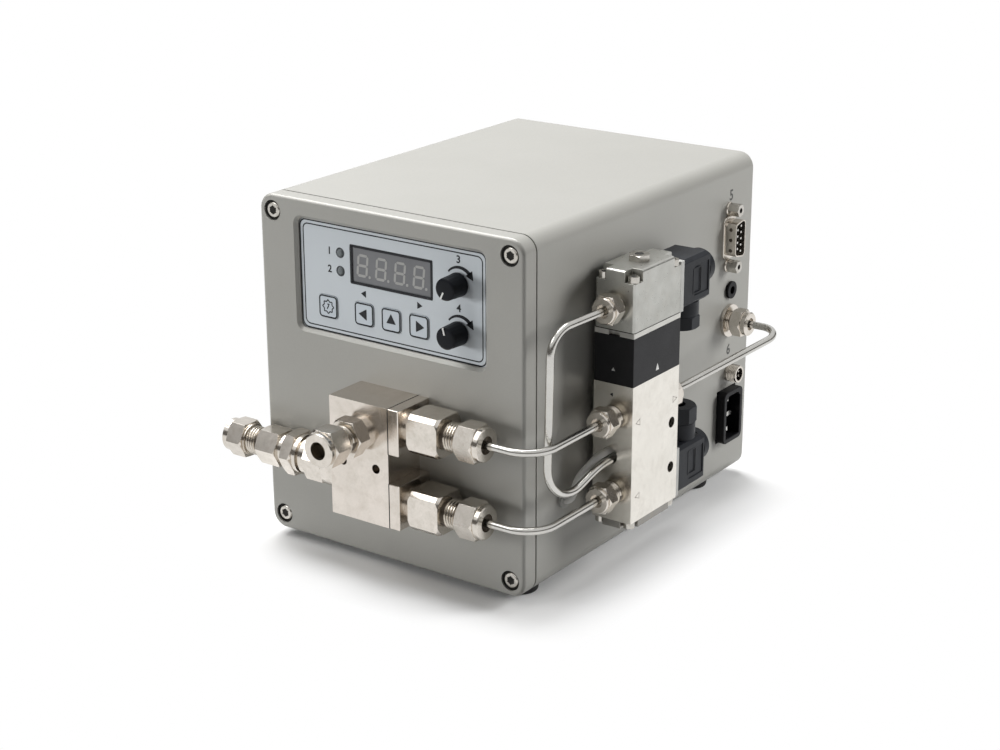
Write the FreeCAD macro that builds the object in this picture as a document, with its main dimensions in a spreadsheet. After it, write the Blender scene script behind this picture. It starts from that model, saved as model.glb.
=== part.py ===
"""Stream switching system: a bench instrument that sends one of two fluid streams to an outlet.

A box-shaped housing carries a control panel and a steel manifold on its front, and a stacked
solenoid valve with its plugs, tubes and sockets on its right side. All sizes are in millimetres.
X runs to the right, Y to the rear and Z up. The pieces are laid out from the middle of the
housing's underside, and their placements move the whole part so that it stands on z = 0 with
its outer box centred on the Z axis.
"""
import FreeCAD, Part
import math
import os

import Sketcher

Vector = FreeCAD.Vector
Rotation = FreeCAD.Rotation

SIZES = {
    # Housing
    "housing_width": 129.8,
    "housing_height": 145.0,
    "housing_depth": 172.8,
    "housing_wall": 2.5,
    "edge_radius": 6.5,
    "plate_thickness": 7.6,
    "plate_chamfer": 1.5,
    "gasket_thickness": 0.8,
    "gasket_inset": 1.5,
    "screw_inset": 6.7,
    "boss_radius": 4.4,
    "boss_bore": 1.7,
    "rear_panel_thickness": 3.0,
    "panel_slack": 0.2,
    "foot_height": 3.5,
    "foot_radius": 7.5,
    "foot_inset": 12.0,
    "foot_setback": 15.0,
    "foot_taper": 0.6,
    "foot_recess_radius": 3.6,
    "foot_recess": 2.2,
    "foot_screw_radius": 1.5,
    "foot_screw_head": 2.8,
    "foot_screw_length": 6.0,
    "rear_foot_setback": 25.0,
    # Screws
    "screw_head_radius": 3.4,
    "screw_head_height": 2.6,
    "screw_shank_radius": 1.55,
    "screw_length": 14.0,
    "counterbore_radius": 4.2,
    "head_sink": 0.4,
    "socket_radius": 1.5,
    "socket_depth": 1.4,
    "fit_gap": 0.1,
    # Control panel
    "panel_width": 95.0,
    "panel_height": 48.4,
    "panel_across": 0.2,
    "panel_drop": 30.8,
    "panel_radius": 4.0,
    "panel_lip": 1.4,
    "pocket_depth": 2.6,
    "overlay_thickness": 0.6,
    "display_across": 0.3,
    "display_rise": 7.7,
    "display_wide": 39.0,
    "display_tall": 14.2,
    "key_size": 9.5,
    "key_radius": 1.6,
    "key_drop": 12.0,
    "key_thickness": 5.0,
    "key_travel": 0.5,
    "key_gap": 0.15,
    "key_stem_radius": 1.6,
    "key_menu_across": -31.8,
    "key_left_across": -13.4,
    "key_up_across": 0.2,
    "key_right_across": 13.9,
    "lamp_across": -25.1,
    "lamp_rise_high": 11.3,
    "lamp_rise_low": 3.8,
    "lamp_radius": 1.8,
    "knob_across": 33.1,
    "knob_rise": 8.4,
    "knob_drop": 11.0,
    "knob_radius": 4.8,
    "knob_face_radius": 4.5,
    "knob_length": 8.6,
    "knob_lift": 0.4,
    "shaft_radius": 1.5,
    "bush_radius": 3.0,
    "pot_size": 12.0,
    "pot_depth": 7.0,
    "board_thickness": 1.6,
    "board_gap": 4.0,
    "board_margin": 3.0,
    "standoff_radius": 2.4,
    "switch_size": 6.0,
    "running_gap": 0.05,
    "switch_depth": 3.8,
    "key_proud": 0.4,
    "key_engagement": 1.2,
    "key_bevel": 0.25,
    "display_sink": 0.3,
    "lamp_proud": 0.5,
    "knob_crown": 1.4,
    # Manifold
    "block_width": 29.0,
    "block_height": 49.8,
    "block_depth": 19.8,
    "block_bottom": 25.0,
    "side_plate_thickness": 5.1,
    "side_plate_height": 18.8,
    "port_high": 65.7,
    "port_low": 33.8,
    "inlet_high": 62.1,
    "left_high": 41.7,
    "port_bore": 5.0,
    "port_depth": 8.0,
    "spigot_gap": 0.05,
    "passage_radius": 2.0,
    "mount_hole_across": 8.3,
    "mount_hole_radius": 1.9,
    "mount_hole_depth": 10.0,
    "manifold_screw_across": 9.5,
    "manifold_screw_rise": 12.0,
    "manifold_screw_radius": 1.5,
    "manifold_screw_gap": 0.4,
    "manifold_head_radius": 2.75,
    "manifold_head_height": 3.0,
    # Tube fittings of the manifold
    "nut_flats": 14.3,
    "nut_hex_length": 8.6,
    "nut_collar_length": 2.3,
    "nut_collar_radius": 6.9,
    "nut_bore": 3.6,
    "sleeve_recess": 2.6,
    "thread_radius": 5.5,
    "thread_reach": 5.0,
    "square_side": 16.0,
    "square_length": 14.6,
    "neck_boss_radius": 6.6,
    "neck_boss_length": 2.4,
    "neck_thread_gap": 7.0,
    "tube_seat": 6.0,
    "tube_socket_radius": 3.3,
    "tube_socket_depth": 8.0,
    "front_collar_radius": 7.0,
    "front_collar_length": 2.2,
    "front_hex_length": 6.8,
    "front_thread_gap": 4.5,
    "left_disc_radius": 9.5,
    "left_disc_length": 7.0,
    "left_groove_radius": 6.5,
    "left_groove_length": 1.2,
    "left_hex_flats": 17.0,
    "left_hex_long": 9.8,
    "left_hex_turn": 12.7,
    "left_neck_radius": 7.8,
    "left_neck_length": 3.0,
    "left_collar_radius": 8.25,
    "left_collar_length": 2.1,
    "left_hex_short": 5.5,
    "left_gap_length": 3.7,
    "left_body_hex": 10.7,
    "left_thread_gap": 7.0,
    # Straight tubes and bends
    "tube_radius": 1.6,
    "tube_bore": 1.0,
    "tube_bend": 13.0,
    # Valve
    "valve_gap": 3.0,
    "valve_width": 18.1,
    "valve_depth": 34.8,
    "valve_setback": 43.3,
    "valve_bottom": 19.0,
    "base_plate_height": 3.0,
    "valve_body_top": 79.5,
    "spacer_top": 99.3,
    "strip_top": 101.4,
    "cap_top": 125.8,
    "cap_round": 1.0,
    "notch_size": 4.8,
    "notch_length": 5.7,
    "notch_depth": 4.6,
    "cap_port_high": 111.2,
    "rear_port_high": 63.0,
    "cable_hole_high": 49.2,
    "cable_hole_across": -1.3,
    "cable_hole_radius": 3.6,
    "cable_hole_depth": 9.0,
    "valve_port_bore": 4.0,
    "valve_port_depth": 6.5,
    "mount_screw_setback": 4.85,
    "mount_screw_low": 37.0,
    "mount_screw_high": 56.3,
    "mount_screw_radius": 1.5,
    "mount_hole_wide": 2.25,
    "mount_head_height": 3.0,
    "mount_head_sink": 10.0,
    "spacer_radius": 3.2,
    "tie_screw_inset": 2.4,
    "tie_screw_setback": 2.8,
    "tie_screw_radius": 1.25,
    "tie_head_radius": 2.3,
    "tie_head_height": 2.5,
    "tie_socket_radius": 1.0,
    "tie_screw_end": 70.0,
    "base_screw_reach": 10.0,
    "hex_plug_flats": 8.0,
    "hex_plug_height": 2.4,
    "hex_plug_bore": 1.6,
    "hex_plug_reach": 6.0,
    "spool_bottom": 28.0,
    "spool_top": 75.0,
    "spool_waist": 2.2,
    "small_nut_flats": 11.1,
    "small_nut_hex": 5.2,
    "small_nut_collar": 1.4,
    "small_collar_radius": 5.3,
    "small_recess_radius": 2.7,
    "small_recess": 1.9,
    "small_thread_radius": 4.6,
    "small_thread_gap": 4.6,
    "cap_thread_gap": 1.9,
    "small_thread_reach": 4.0,
    "small_tube_seat": 4.0,
    "valve_way_radius": 1.2,
    "strip_notch_width": 5.0,
    "strip_notch_depth": 1.5,
    "end_gap": 0.3,
    "spool_radius": 3.5,
    "spool_travel": 2.0,
    # Plugs
    "seal_thickness": 2.6,
    "plug_width": 17.0,
    "plug_depth": 20.6,
    "plug_height": 20.0,
    "plug_high": 111.6,
    "plug_low": 32.3,
    "plug_hub_radius": 7.2,
    "plug_hub_length": 8.0,
    "plug_hub_groove": 1.4,
    "plug_hub_rise_upper": 0.8,
    "plug_hub_rise_lower": 2.0,
    "plug_bevel": 1.4,
    "plug_field_start": 8.6,
    "plug_field_length": 11.0,
    "plug_field_height": 12.6,
    "plug_field_depth": 0.4,
    "gland_setback": 15.0,
    "gland_neck_radius": 7.6,
    "gland_neck_upper": 6.0,
    "gland_neck_lower": 7.0,
    "gland_nut_flats": 15.0,
    "gland_nut_upper": 5.5,
    "gland_nut_lower": 7.0,
    "gland_bore": 3.4,
    "gland_spigot_radius": 5.5,
    "gland_spigot": 4.0,
    "plug_gap": 0.2,
    # Loose bends
    "loop_stand": 7.8,
    "loop_setback": 3.4,
    "loop_setback_high": 5.9,
    "loop_top": 109.6,
    "loop_bottom": 34.5,
    "cable_bend_stand": 5.6,
    "cable_bend_ahead": 14.4,
    "cable_bend_high": 43.5,
    "cable_stand": 3.5,
    "rear_tube_reach": 27.6,
    # Side sockets
    "dsub_from_rear": 20.0,
    "dsub_high": 112.0,
    "jackscrew_pitch": 24.99,
    "jack_from_rear": 16.9,
    "jack_high": 87.7,
    "bulkhead_from_rear": 17.4,
    "bulkhead_high": 74.0,
    "signal_from_rear": 15.4,
    "signal_high": 49.3,
    "inlet_from_rear": 16.9,
    "inlet_mid_high": 30.3,
    "inlet_width": 16.2,
    "inlet_height": 24.2,
    "inlet_proud": 4.0,
    "inlet_inside": 12.0,
    "inlet_corner": 4.0,
    "inlet_wall": 2.2,
    "inlet_round": 2.8,
    "inlet_cavity": 13.0,
    "blade_width": 2.0,
    "blade_height": 4.0,
    "blade_spacing": 7.0,
    "dsub_width": 12.5,
    "dsub_length": 31.0,
    "dsub_flange": 0.8,
    "dsub_proud": 6.0,
    "dsub_inside": 6.0,
    "dsub_insert_rise": 1.0,
    "dsub_shell_width": 8.4,
    "dsub_shell_length": 16.9,
    "dsub_shell_wall": 0.5,
    "dsub_slant": 1.4,
    "dsub_shell_round": 2.2,
    "dsub_pin_radius": 0.5,
    "dsub_pin_pitch": 2.77,
    "dsub_row_gap": 2.84,
    "jackscrew_flats": 5.0,
    "jackscrew_length": 5.0,
    "jackscrew_radius": 1.4,
    "jackscrew_inside": 0.8,
    "jackscrew_bore": 1.1,
    "jack_flange_radius": 3.85,
    "jack_flange": 1.4,
    "jack_thread_radius": 3.0,
    "jack_bore": 1.75,
    "jack_inside": 10.0,
    "bulkhead_thread_radius": 4.0,
    "bulkhead_washer_radius": 7.25,
    "bulkhead_washer": 1.5,
    "bulkhead_flats": 11.0,
    "bulkhead_neck": 2.0,
    "bulkhead_hex": 5.0,
    "bulkhead_collar": 2.5,
    "bulkhead_collar_radius": 5.2,
    "bulkhead_inside": 9.0,
    "signal_radius": 3.75,
    "signal_proud": 5.5,
    "signal_inside": 8.0,
    "signal_bore": 2.8,
    "signal_pin_radius": 0.4,
    "signal_pin_circle": 1.4,
    "lock_nut_flats": 11.0,
    "lock_nut_height": 2.5,
    "grommet_ahead": 16.4,
    "grommet_high": 33.5,
    "grommet_neck_radius": 2.4,
    "grommet_flange_radius": 3.4,
    "grommet_flange": 1.2,
    "hole_seal_sink": 4.5,
    "hole_seal_thickness": 3.0,
    "hole_tube_across": 0.9,
    "hole_tube_drop": 1.3,
    "hole_cable_across": 1.3,
    "hole_cable_rise": 1.4,
    "hole_reach": 7.0,
    "cable_radius": 1.5,
    # Boards inside
    "board_left_gap": 14.9,
    "board_right_gap": 29.9,
    "board_front_gap": 31.4,
    "board_rear_gap": 26.4,
    "board_lift": 8.0,
    "supply_width": 40.0,
    "supply_depth": 70.0,
    "supply_height": 28.0,
    # Where the outer box's middle lies from the housing's middle
    "centre_x": 8.033,
    "centre_y": -20.8,
}


class Length:
    """A length that carries its number and the sheet expression that gives it."""

    def __init__(self, value, text):
        self.value = value
        self.text = text

    def __add__(self, other):
        other = as_length(other)
        return Length(self.value + other.value, f"({self.text} + {other.text})")

    def __radd__(self, other):
        return as_length(other) + self

    def __sub__(self, other):
        other = as_length(other)
        return Length(self.value - other.value, f"({self.text} - {other.text})")

    def __rsub__(self, other):
        return as_length(other) - self

    def __mul__(self, factor):
        return Length(self.value * factor, f"({self.text} * {factor})")

    __rmul__ = __mul__

    def __truediv__(self, factor):
        return Length(self.value / factor, f"({self.text} / {factor})")

    def __neg__(self):
        return Length(-self.value, f"(0 - {self.text})")


def as_length(item):
    """Give a plain number the same form as a size from the sheet."""
    if isinstance(item, Length):
        return item
    return Length(float(item), f"({float(item)})")


def number(item):
    """The plain number of a size."""
    return as_length(item).value


def step(start, along, distance):
    """The point that lies a distance from another along a direction."""
    spot = [as_length(part) for part in start]
    index = "xyz".index(along[-1])
    sign = -1 if along[0] == "-" else 1
    spot[index] = spot[index] + as_length(distance) * sign
    return tuple(spot)


class Sizes:
    """The spreadsheet of driving sizes; each alias reads as a Length."""

    def __init__(self, doc, table):
        self.sheet = doc.addObject("Spreadsheet::Sheet", "sizes")
        for row, (alias, value) in enumerate(table.items(), start=1):
            self.sheet.set(f"A{row}", str(value))
            self.sheet.setAlias(f"A{row}", alias)
        doc.recompute()

    def __getattr__(self, alias):
        return Length(float(self.sheet.get(alias)), f"sizes.{alias}")


doc = FreeCAD.newDocument("stream_switch")
s = Sizes(doc, SIZES)
nodes = {}
spots = {}

# Turns that lay a primitive's own Z axis, or a turned body's own X axis, along a direction
FROM_Z = {
    "x": Rotation(Vector(0, 1, 0), 90), "-x": Rotation(Vector(0, 1, 0), -90),
    "y": Rotation(Vector(1, 0, 0), -90), "-y": Rotation(Vector(1, 0, 0), 90),
    "z": Rotation(), "-z": Rotation(Vector(1, 0, 0), 180),
}
FROM_X = {
    "x": Rotation(), "-x": Rotation(Vector(0, 0, 1), 180),
    "y": Rotation(Vector(0, 0, 1), 90), "-y": Rotation(Vector(0, 0, 1), -90),
    "z": Rotation(Vector(0, 1, 0), -90), "-z": Rotation(Vector(0, 1, 0), 90),
}


def bind(feature, name, size):
    """Set a size of a feature and tie it to the sheet."""
    size = as_length(size)
    setattr(feature, name, size.value)
    feature.setExpression(name, size.text)


def locate(feature, spot, turn=None):
    """Put a feature at a spot given as three lengths, turned as asked."""
    spot = [as_length(part) for part in spot]
    base = Vector(*[part.value for part in spot])
    feature.Placement = FreeCAD.Placement(base, turn or Rotation())
    for axis, part in zip("xyz", spot):
        feature.setExpression(f".Placement.Base.{axis}", part.text)
    spots[feature.Name] = (spot, turn)
    return feature


def node(name, feature):
    """Name a finished piece and move it to where the whole part stands."""
    spot, turn = spots.get(feature.Name, ([as_length(0)] * 3, None))
    moved = (spot[0] - s.centre_x, spot[1] - s.centre_y, spot[2] + s.foot_height)
    locate(feature, moved, turn)
    feature.Label = name
    nodes[name] = feature
    return feature


def box(name, corner, size):
    """A block from its lowest corner and its three sizes."""
    feature = doc.addObject("Part::Box", name)
    for side, amount in zip(("Length", "Width", "Height"), size):
        bind(feature, side, amount)
    return locate(feature, corner)


def middle_box(name, middle, size):
    """A block round its middle."""
    size = [as_length(part) for part in size]
    corner = [as_length(spot) - part / 2 for spot, part in zip(middle, size)]
    return box(name, corner, size)


def rod(name, radius, length, start, along="z"):
    """A cylinder from the middle of its first face."""
    feature = doc.addObject("Part::Cylinder", name)
    bind(feature, "Radius", radius)
    bind(feature, "Height", length)
    return locate(feature, start, FROM_Z[along])


def hexagon(name, flats, length, start, along="x", turn_by=0, sides=6):
    """A hexagonal bar with a flat on top, or turned by some degrees from there."""
    feature = doc.addObject("Part::Prism", name)
    feature.Polygon = sides
    flats = as_length(flats)
    bind(feature, "Circumradius", flats / (2 * math.cos(math.pi / sides)))
    bind(feature, "Height", length)
    upright = {"x": 180 / sides, "y": 90 + 180 / sides, "z": 90 + 180 / sides}[along[-1]]
    turn = FROM_Z[along] * Rotation(Vector(0, 0, 1), upright + number(turn_by))
    return locate(feature, start, turn)


def outline_sketch(body, plane, points):
    """A closed outline of straight lines, each corner tied to the sheet."""
    sketch = body.newObject("Sketcher::SketchObject", f"{body.Name}_outline")
    origin = [part for part in body.Origin.OriginFeatures if part.Role == plane][0]
    sketch.AttachmentSupport = [(origin, "")]
    sketch.MapMode = "FlatFace"
    points = [(as_length(across), as_length(up)) for across, up in points]
    count = len(points)
    spots_2d = [Vector(across.value, up.value, 0) for across, up in points]
    for index in range(count):
        line = Part.LineSegment(spots_2d[index], spots_2d[(index + 1) % count])
        sketch.addGeometry(line, False)
    for index in range(count):
        sketch.addConstraint(Sketcher.Constraint("Coincident", index, 2, (index + 1) % count, 1))
    for index, point in enumerate(points):
        for kind, size in zip(("DistanceX", "DistanceY"), point):
            tie = sketch.addConstraint(Sketcher.Constraint(kind, -1, 1, index, 1, size.value))
            sketch.setExpression(f"Constraints[{tie}]", size.text)
    return sketch


def turned(name, outline, start=(0, 0, 0), along="x"):
    """A lathe-turned piece from its half outline: pairs of distance along the axis and radius."""
    body = doc.addObject("PartDesign::Body", name)
    sketch = outline_sketch(body, "XZ_Plane", outline)
    spin = body.newObject("PartDesign::Revolution", f"{name}_spin")
    spin.Profile = sketch
    spin.ReferenceAxis = (sketch, ["H_Axis"])
    spin.Angle = 360
    return locate(body, start, FROM_X[along])


def milled(name, plane, outline, length, start=(0, 0, 0), both=False):
    """A plate or bar cut to an outline; `both` grows it to each side of its plane."""
    body = doc.addObject("PartDesign::Body", name)
    sketch = outline_sketch(body, plane, outline)
    pad = body.newObject("PartDesign::Pad", f"{name}_pad")
    pad.Profile = sketch
    bind(pad, "Length", length)
    pad.Midplane = both
    pad.Reversed = plane == "XZ_Plane"
    return locate(body, start)


def straight_edges(shape, axis):
    """The names of a shape's straight edges that run along an axis."""
    names = []
    for index, edge in enumerate(shape.Edges, start=1):
        run = edge.Vertexes[-1].Point - edge.Vertexes[0].Point
        if len(edge.Vertexes) == 2 and run.Length > 0 and abs(abs(run.normalize() * axis) - 1) < 1e-6:
            names.append(f"Edge{index}")
    return names


def edges_at(shape, axis, place):
    """The names of a shape's edges that lie in a plane across an axis."""
    names = []
    for index, edge in enumerate(shape.Edges, start=1):
        ends = [vertex.Point * axis for vertex in edge.Vertexes] + [edge.CenterOfMass * axis]
        if all(abs(end - place) < 1e-4 for end in ends):
            names.append(f"Edge{index}")
    return names


def rounded_bar(name, width, height, depth, radius, start, chamfer=None, chamfer_side="front",
                edge="PartDesign::Chamfer"):
    """A bar along Y with rounded long edges, from the middle of its front face."""
    width, height, depth = as_length(width), as_length(height), as_length(depth)
    corners = [(sign_x * width / 2, sign_z * height / 2)
               for sign_x, sign_z in ((-1, -1), (1, -1), (1, 1), (-1, 1))]
    body = milled(name, "XZ_Plane", corners, depth, start)
    doc.recompute()
    pad = body.Tip
    rounding = body.newObject("PartDesign::Fillet", f"{name}_round")
    rounding.Base = (pad, straight_edges(pad.Shape, Vector(0, 1, 0)))
    bind(rounding, "Radius", radius)
    doc.recompute()
    if chamfer is not None:
        place = 0.0 if chamfer_side == "front" else depth.value
        bevel = body.newObject(edge, f"{name}_bevel")
        bevel.Base = (rounding, edges_at(rounding.Shape, Vector(0, 1, 0), place))
        bind(bevel, "Size" if edge.endswith("Chamfer") else "Radius", chamfer)
    return body


def soften(name, feature, amount, axes=("x", "y", "z"), kind="Part::Chamfer", sharp=None):
    """Bevel or round a box-like feature's straight edges, but for those in one plane."""
    directions = {"x": Vector(1, 0, 0), "y": Vector(0, 1, 0), "z": Vector(0, 0, 1)}
    doc.recompute()
    bevel = doc.addObject(kind, name)
    bevel.Base = feature
    wanted = []
    for axis in axes:
        wanted += [int(edge[4:]) for edge in straight_edges(feature.Shape, directions[axis])]
    if sharp is not None:
        kept = edges_at(feature.Shape, directions[sharp[0]], number(sharp[1]))
        wanted = [edge for edge in wanted if f"Edge{edge}" not in kept]
    bevel.Edges = [(edge, as_length(amount).value, as_length(amount).value) for edge in wanted]
    return bevel


def fuse(name, features):
    """Join several features."""
    feature = doc.addObject("Part::MultiFuse", name)
    feature.Shapes = list(features)
    return feature


def common(name, features):
    """Keep what several features share."""
    feature = doc.addObject("Part::MultiCommon", name)
    feature.Shapes = list(features)
    return feature


def cut(name, base, tools):
    """Cut one or more tools out of a base."""
    feature = doc.addObject("Part::Cut", name)
    feature.Base = base
    feature.Tool = tools[0] if len(tools) == 1 else fuse(f"{name}_tools", tools)
    return feature


def group(name, features):
    """Like pieces that share a node, each still a solid of its own."""
    feature = doc.addObject("Part::Compound", name)
    feature.Links = list(features)
    return feature


def bent_tube(name, points, bends, radius, bore=None):
    """A tube or cable along straight runs joined by arcs that are tangent to them."""
    corners = [Vector(*[number(part) for part in point]) for point in points]
    edges = []
    start = corners[0]
    for index, bend in enumerate(bends, start=1):
        bend = number(bend)
        corner = corners[index]
        toward = (corners[index - 1] - corner).normalize()
        away = (corners[index + 1] - corner).normalize()
        half = toward.getAngle(away) / 2
        entry = corner + toward * (bend / math.tan(half))
        leave = corner + away * (bend / math.tan(half))
        inward = (toward + away).normalize()
        middle = corner + inward * (bend / math.sin(half) - bend)
        edges.append(Part.LineSegment(start, entry).toShape())
        edges.append(Part.Arc(entry, middle, leave).toShape())
        start = leave
    edges.append(Part.LineSegment(start, corners[-1]).toShape())
    path = Part.Wire(edges)
    heading = corners[1] - corners[0]

    def sweep(size):
        ring = Part.Wire(Part.Circle(corners[0], heading, number(size)).toShape())
        return path.makePipeShell([ring], True, False)

    shape = sweep(radius)
    if bore is not None:
        shape = shape.cut(sweep(bore))
    feature = doc.addObject("Part::Feature", name)
    feature.Shape = shape
    return feature


def faceted(name, kind, across, length, start, along, turn_by=0, bevels=(True, True)):
    """A hexagonal or square wrench section with the turned bevel of such fittings."""
    across = as_length(across)
    flat = across / 2
    if kind == "square":
        blank_size = [across, across, across]
        blank_size["xyz".index(along[-1])] = as_length(length)
        blank = middle_box(f"{name}_blank", step(start, along, as_length(length) / 2), blank_size)
        corner, low, fall = flat * 1.27, flat * 1.12, flat * 0.13
    elif kind == "octagon":
        blank = hexagon(f"{name}_blank", across, length, start, along, turn_by, 8)
        corner, low, fall = flat * 1.09, flat * 0.98, flat * 0.08
    else:
        blank = hexagon(f"{name}_blank", across, length, start, along, turn_by)
        corner, low, fall = flat * 1.16, flat * 1.0, flat * 0.1
    length = as_length(length)
    outline = [(0, 0)]
    outline += [(0, low), (fall, corner)] if bevels[0] else [(0, corner)]
    outline += [(length - fall, corner), (length, low)] if bevels[1] else [(length, corner)]
    outline += [(length, 0)]
    envelope = turned(f"{name}_bevels", outline, start, along)
    return common(name, [blank, envelope])


# Reference places of the housing
half_width = s.housing_width / 2
half_depth = s.housing_depth / 2
front = -half_depth
side = half_width
plate_back = front + s.plate_thickness
shell_front = plate_back + s.gasket_thickness
shell_length = half_depth - shell_front
mid_height = s.housing_height / 2
panel_middle = s.housing_height - s.panel_drop
display_height = panel_middle + s.display_rise
key_row = panel_middle - s.key_drop
lamp_spots = [panel_middle + s.lamp_rise_low, panel_middle + s.lamp_rise_high]
knob_spots = {"input": panel_middle + s.knob_rise, "timing": panel_middle - s.knob_drop}
valve_front = front + s.valve_setback
grommet_back = valve_front - s.grommet_ahead
dsub_back = half_depth - s.dsub_from_rear
jack_back = half_depth - s.jack_from_rear
bulkhead_back = half_depth - s.bulkhead_from_rear
signal_back = half_depth - s.signal_from_rear
inlet_back = half_depth - s.inlet_from_rear
board_left = s.board_left_gap - side
board_right = side - s.board_right_gap
board_front_end = front + s.board_front_gap
board_rear_end = half_depth - s.board_rear_gap
screw_spots = [(across * (half_width - s.screw_inset), height)
               for across in (-1, 1)
               for height in (s.screw_inset, s.housing_height - s.screw_inset)]
inner_width = s.housing_width - s.housing_wall * 2
inner_height = s.housing_height - s.housing_wall * 2
inner_radius = s.edge_radius - s.housing_wall

# Housing: an extruded case with four screw bosses along its corners
case_outer = rounded_bar("case_outer", s.housing_width, s.housing_height, shell_length,
                         s.edge_radius, (0, shell_front, mid_height))
case_inner = rounded_bar("case_inner", inner_width, inner_height, shell_length,
                         inner_radius, (0, shell_front, mid_height))
case_tube = cut("case_tube", case_outer, [case_inner])
bosses = [rod(f"case_boss_{index}", s.boss_radius, shell_length - s.rear_panel_thickness,
              (across, shell_front, height), "y")
          for index, (across, height) in enumerate(screw_spots)]
boss_bores = [rod(f"boss_bore_{index}", s.boss_bore, shell_length, (across, shell_front, height), "y")
              for index, (across, height) in enumerate(screw_spots)]
wall_start = side - s.housing_wall - 1
wall_cut = s.housing_wall + 2


def wall_hole(name, radius, back, high):
    """A round hole through the right side wall."""
    return rod(name, radius, wall_cut, (wall_start, back, high), "x")


valve_left = side + s.valve_gap
valve_right = valve_left + s.valve_width
valve_rear = valve_front + s.valve_depth
valve_across = valve_left + s.valve_width / 2
mount_screw_spots = [(valve_rear - s.mount_screw_setback, high)
                     for high in (s.mount_screw_low, s.mount_screw_high)]
foot_spots = [(across * (half_width - s.foot_inset), back)
              for across in (-1, 1)
              for back in (front + s.foot_setback, half_depth - s.rear_foot_setback)]
board_post_spots = [(across, back)
                    for across in (board_left + s.board_margin * 2, board_right - s.board_margin * 2)
                    for back in (board_front_end + s.board_margin * 2, board_rear_end - s.board_margin * 2)]
wall_holes = [
    middle_box("dsub_opening", (side - s.housing_wall / 2, dsub_back, s.dsub_high),
               (wall_cut, s.dsub_width - 0.6, s.dsub_length - 0.6)),
    wall_hole("dsub_screw_hole_low", s.jackscrew_radius + s.fit_gap, dsub_back,
              s.dsub_high - s.jackscrew_pitch / 2),
    wall_hole("dsub_screw_hole_high", s.jackscrew_radius + s.fit_gap, dsub_back,
              s.dsub_high + s.jackscrew_pitch / 2),
    wall_hole("jack_hole", s.jack_thread_radius + s.fit_gap, jack_back, s.jack_high),
    wall_hole("bulkhead_hole", s.bulkhead_thread_radius + s.fit_gap, bulkhead_back, s.bulkhead_high),
    wall_hole("signal_hole", s.signal_radius + s.fit_gap, signal_back, s.signal_high),
    wall_hole("grommet_hole", s.grommet_neck_radius + s.fit_gap, grommet_back, s.grommet_high),
    middle_box("inlet_opening", (side - s.housing_wall / 2, inlet_back, s.inlet_mid_high),
               (wall_cut, s.inlet_width + s.fit_gap * 2, s.inlet_height + s.fit_gap * 2)),
]
wall_holes += [wall_hole(f"valve_mount_hole_{index}", s.mount_screw_radius + s.fit_gap, back, high)
               for index, (back, high) in enumerate(mount_screw_spots)]
floor_holes = [rod(f"foot_hole_{index}", s.foot_screw_radius + s.fit_gap, s.foot_screw_length + 1,
                   (across, back, -1))
               for index, (across, back) in enumerate(foot_spots)]
case_solid = fuse("case_solid", [case_tube] + bosses)
node("enclosure_shell", cut("enclosure_case", case_solid, boss_bores + wall_holes + floor_holes))

# Rear panel, let in flush between the four walls
rear_inner = rounded_bar("rear_blank", inner_width - s.panel_slack * 2, inner_height - s.panel_slack * 2,
                         s.rear_panel_thickness, inner_radius - s.panel_slack,
                         (0, half_depth - s.rear_panel_thickness, mid_height))
rear_holes = [rod(f"rear_hole_{index}", s.screw_shank_radius + s.fit_gap, s.rear_panel_thickness + 2,
                  (across, half_depth - s.rear_panel_thickness - 1, height), "y")
              for index, (across, height) in enumerate(screw_spots)]
node("rear_panel", cut("rear_plate", rear_inner, rear_holes))

# Seal between the case and the front plate
seal_width = s.housing_width - s.gasket_inset * 2
seal_height = s.housing_height - s.gasket_inset * 2
seal_outer = rounded_bar("seal_outer", seal_width, seal_height, s.gasket_thickness,
                         s.edge_radius - s.gasket_inset, (0, plate_back, mid_height))
seal_inner = rounded_bar("seal_inner", inner_width, inner_height, s.gasket_thickness,
                         inner_radius, (0, plate_back, mid_height))
seal_ring = cut("seal_ring", seal_outer, [seal_inner])
node("front_gasket", seal_ring)

# Front plate with the control panel's pocket
panel_inner_width = s.panel_width - s.panel_lip * 2
panel_inner_height = s.panel_height - s.panel_lip * 2
plate_blank = rounded_bar("plate_blank", s.housing_width, s.housing_height, s.plate_thickness,
                          s.edge_radius, (0, front, mid_height), chamfer=s.plate_chamfer,
                          edge="PartDesign::Fillet")
pocket = rounded_bar("panel_pocket", panel_inner_width, panel_inner_height, s.pocket_depth + 1,
                     s.panel_radius - s.panel_lip, (s.panel_across, front - 1, panel_middle))
pocket_lip = rounded_bar("panel_pocket_lip", s.panel_width, s.panel_height, s.panel_lip + 1,
                         s.panel_radius, (s.panel_across, front - 1, panel_middle),
                         chamfer=s.panel_lip, chamfer_side="rear")
key_spots = {"key_menu": s.key_menu_across, "key_left": s.key_left_across,
             "key_up": s.key_up_across, "key_right": s.key_right_across}
floor_of_pocket = front + s.pocket_depth
overlay_front = floor_of_pocket - s.overlay_thickness


def panel_cutters(tag, start, depth, slack):
    """The openings of the control panel, as cutters for one layer of it."""
    cutters = [middle_box(f"{tag}_display", (s.display_across, start + depth / 2, display_height),
                          (s.display_wide + slack * 2, depth, s.display_tall + slack * 2))]
    for key, across in key_spots.items():
        opening = s.key_size + slack * 2
        cutters.append(rounded_bar(f"{tag}_{key}", opening, opening, depth, s.key_radius + slack,
                                   (across, start, key_row)))
    for knob, height in knob_spots.items():
        cutters.append(rod(f"{tag}_{knob}", s.bush_radius + slack, depth,
                           (s.knob_across, start, height), "y"))
    for index, height in enumerate(lamp_spots):
        cutters.append(rod(f"{tag}_lamp_{index}", s.lamp_radius + slack, depth,
                           (s.lamp_across, start, height), "y"))
    return cutters


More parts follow.
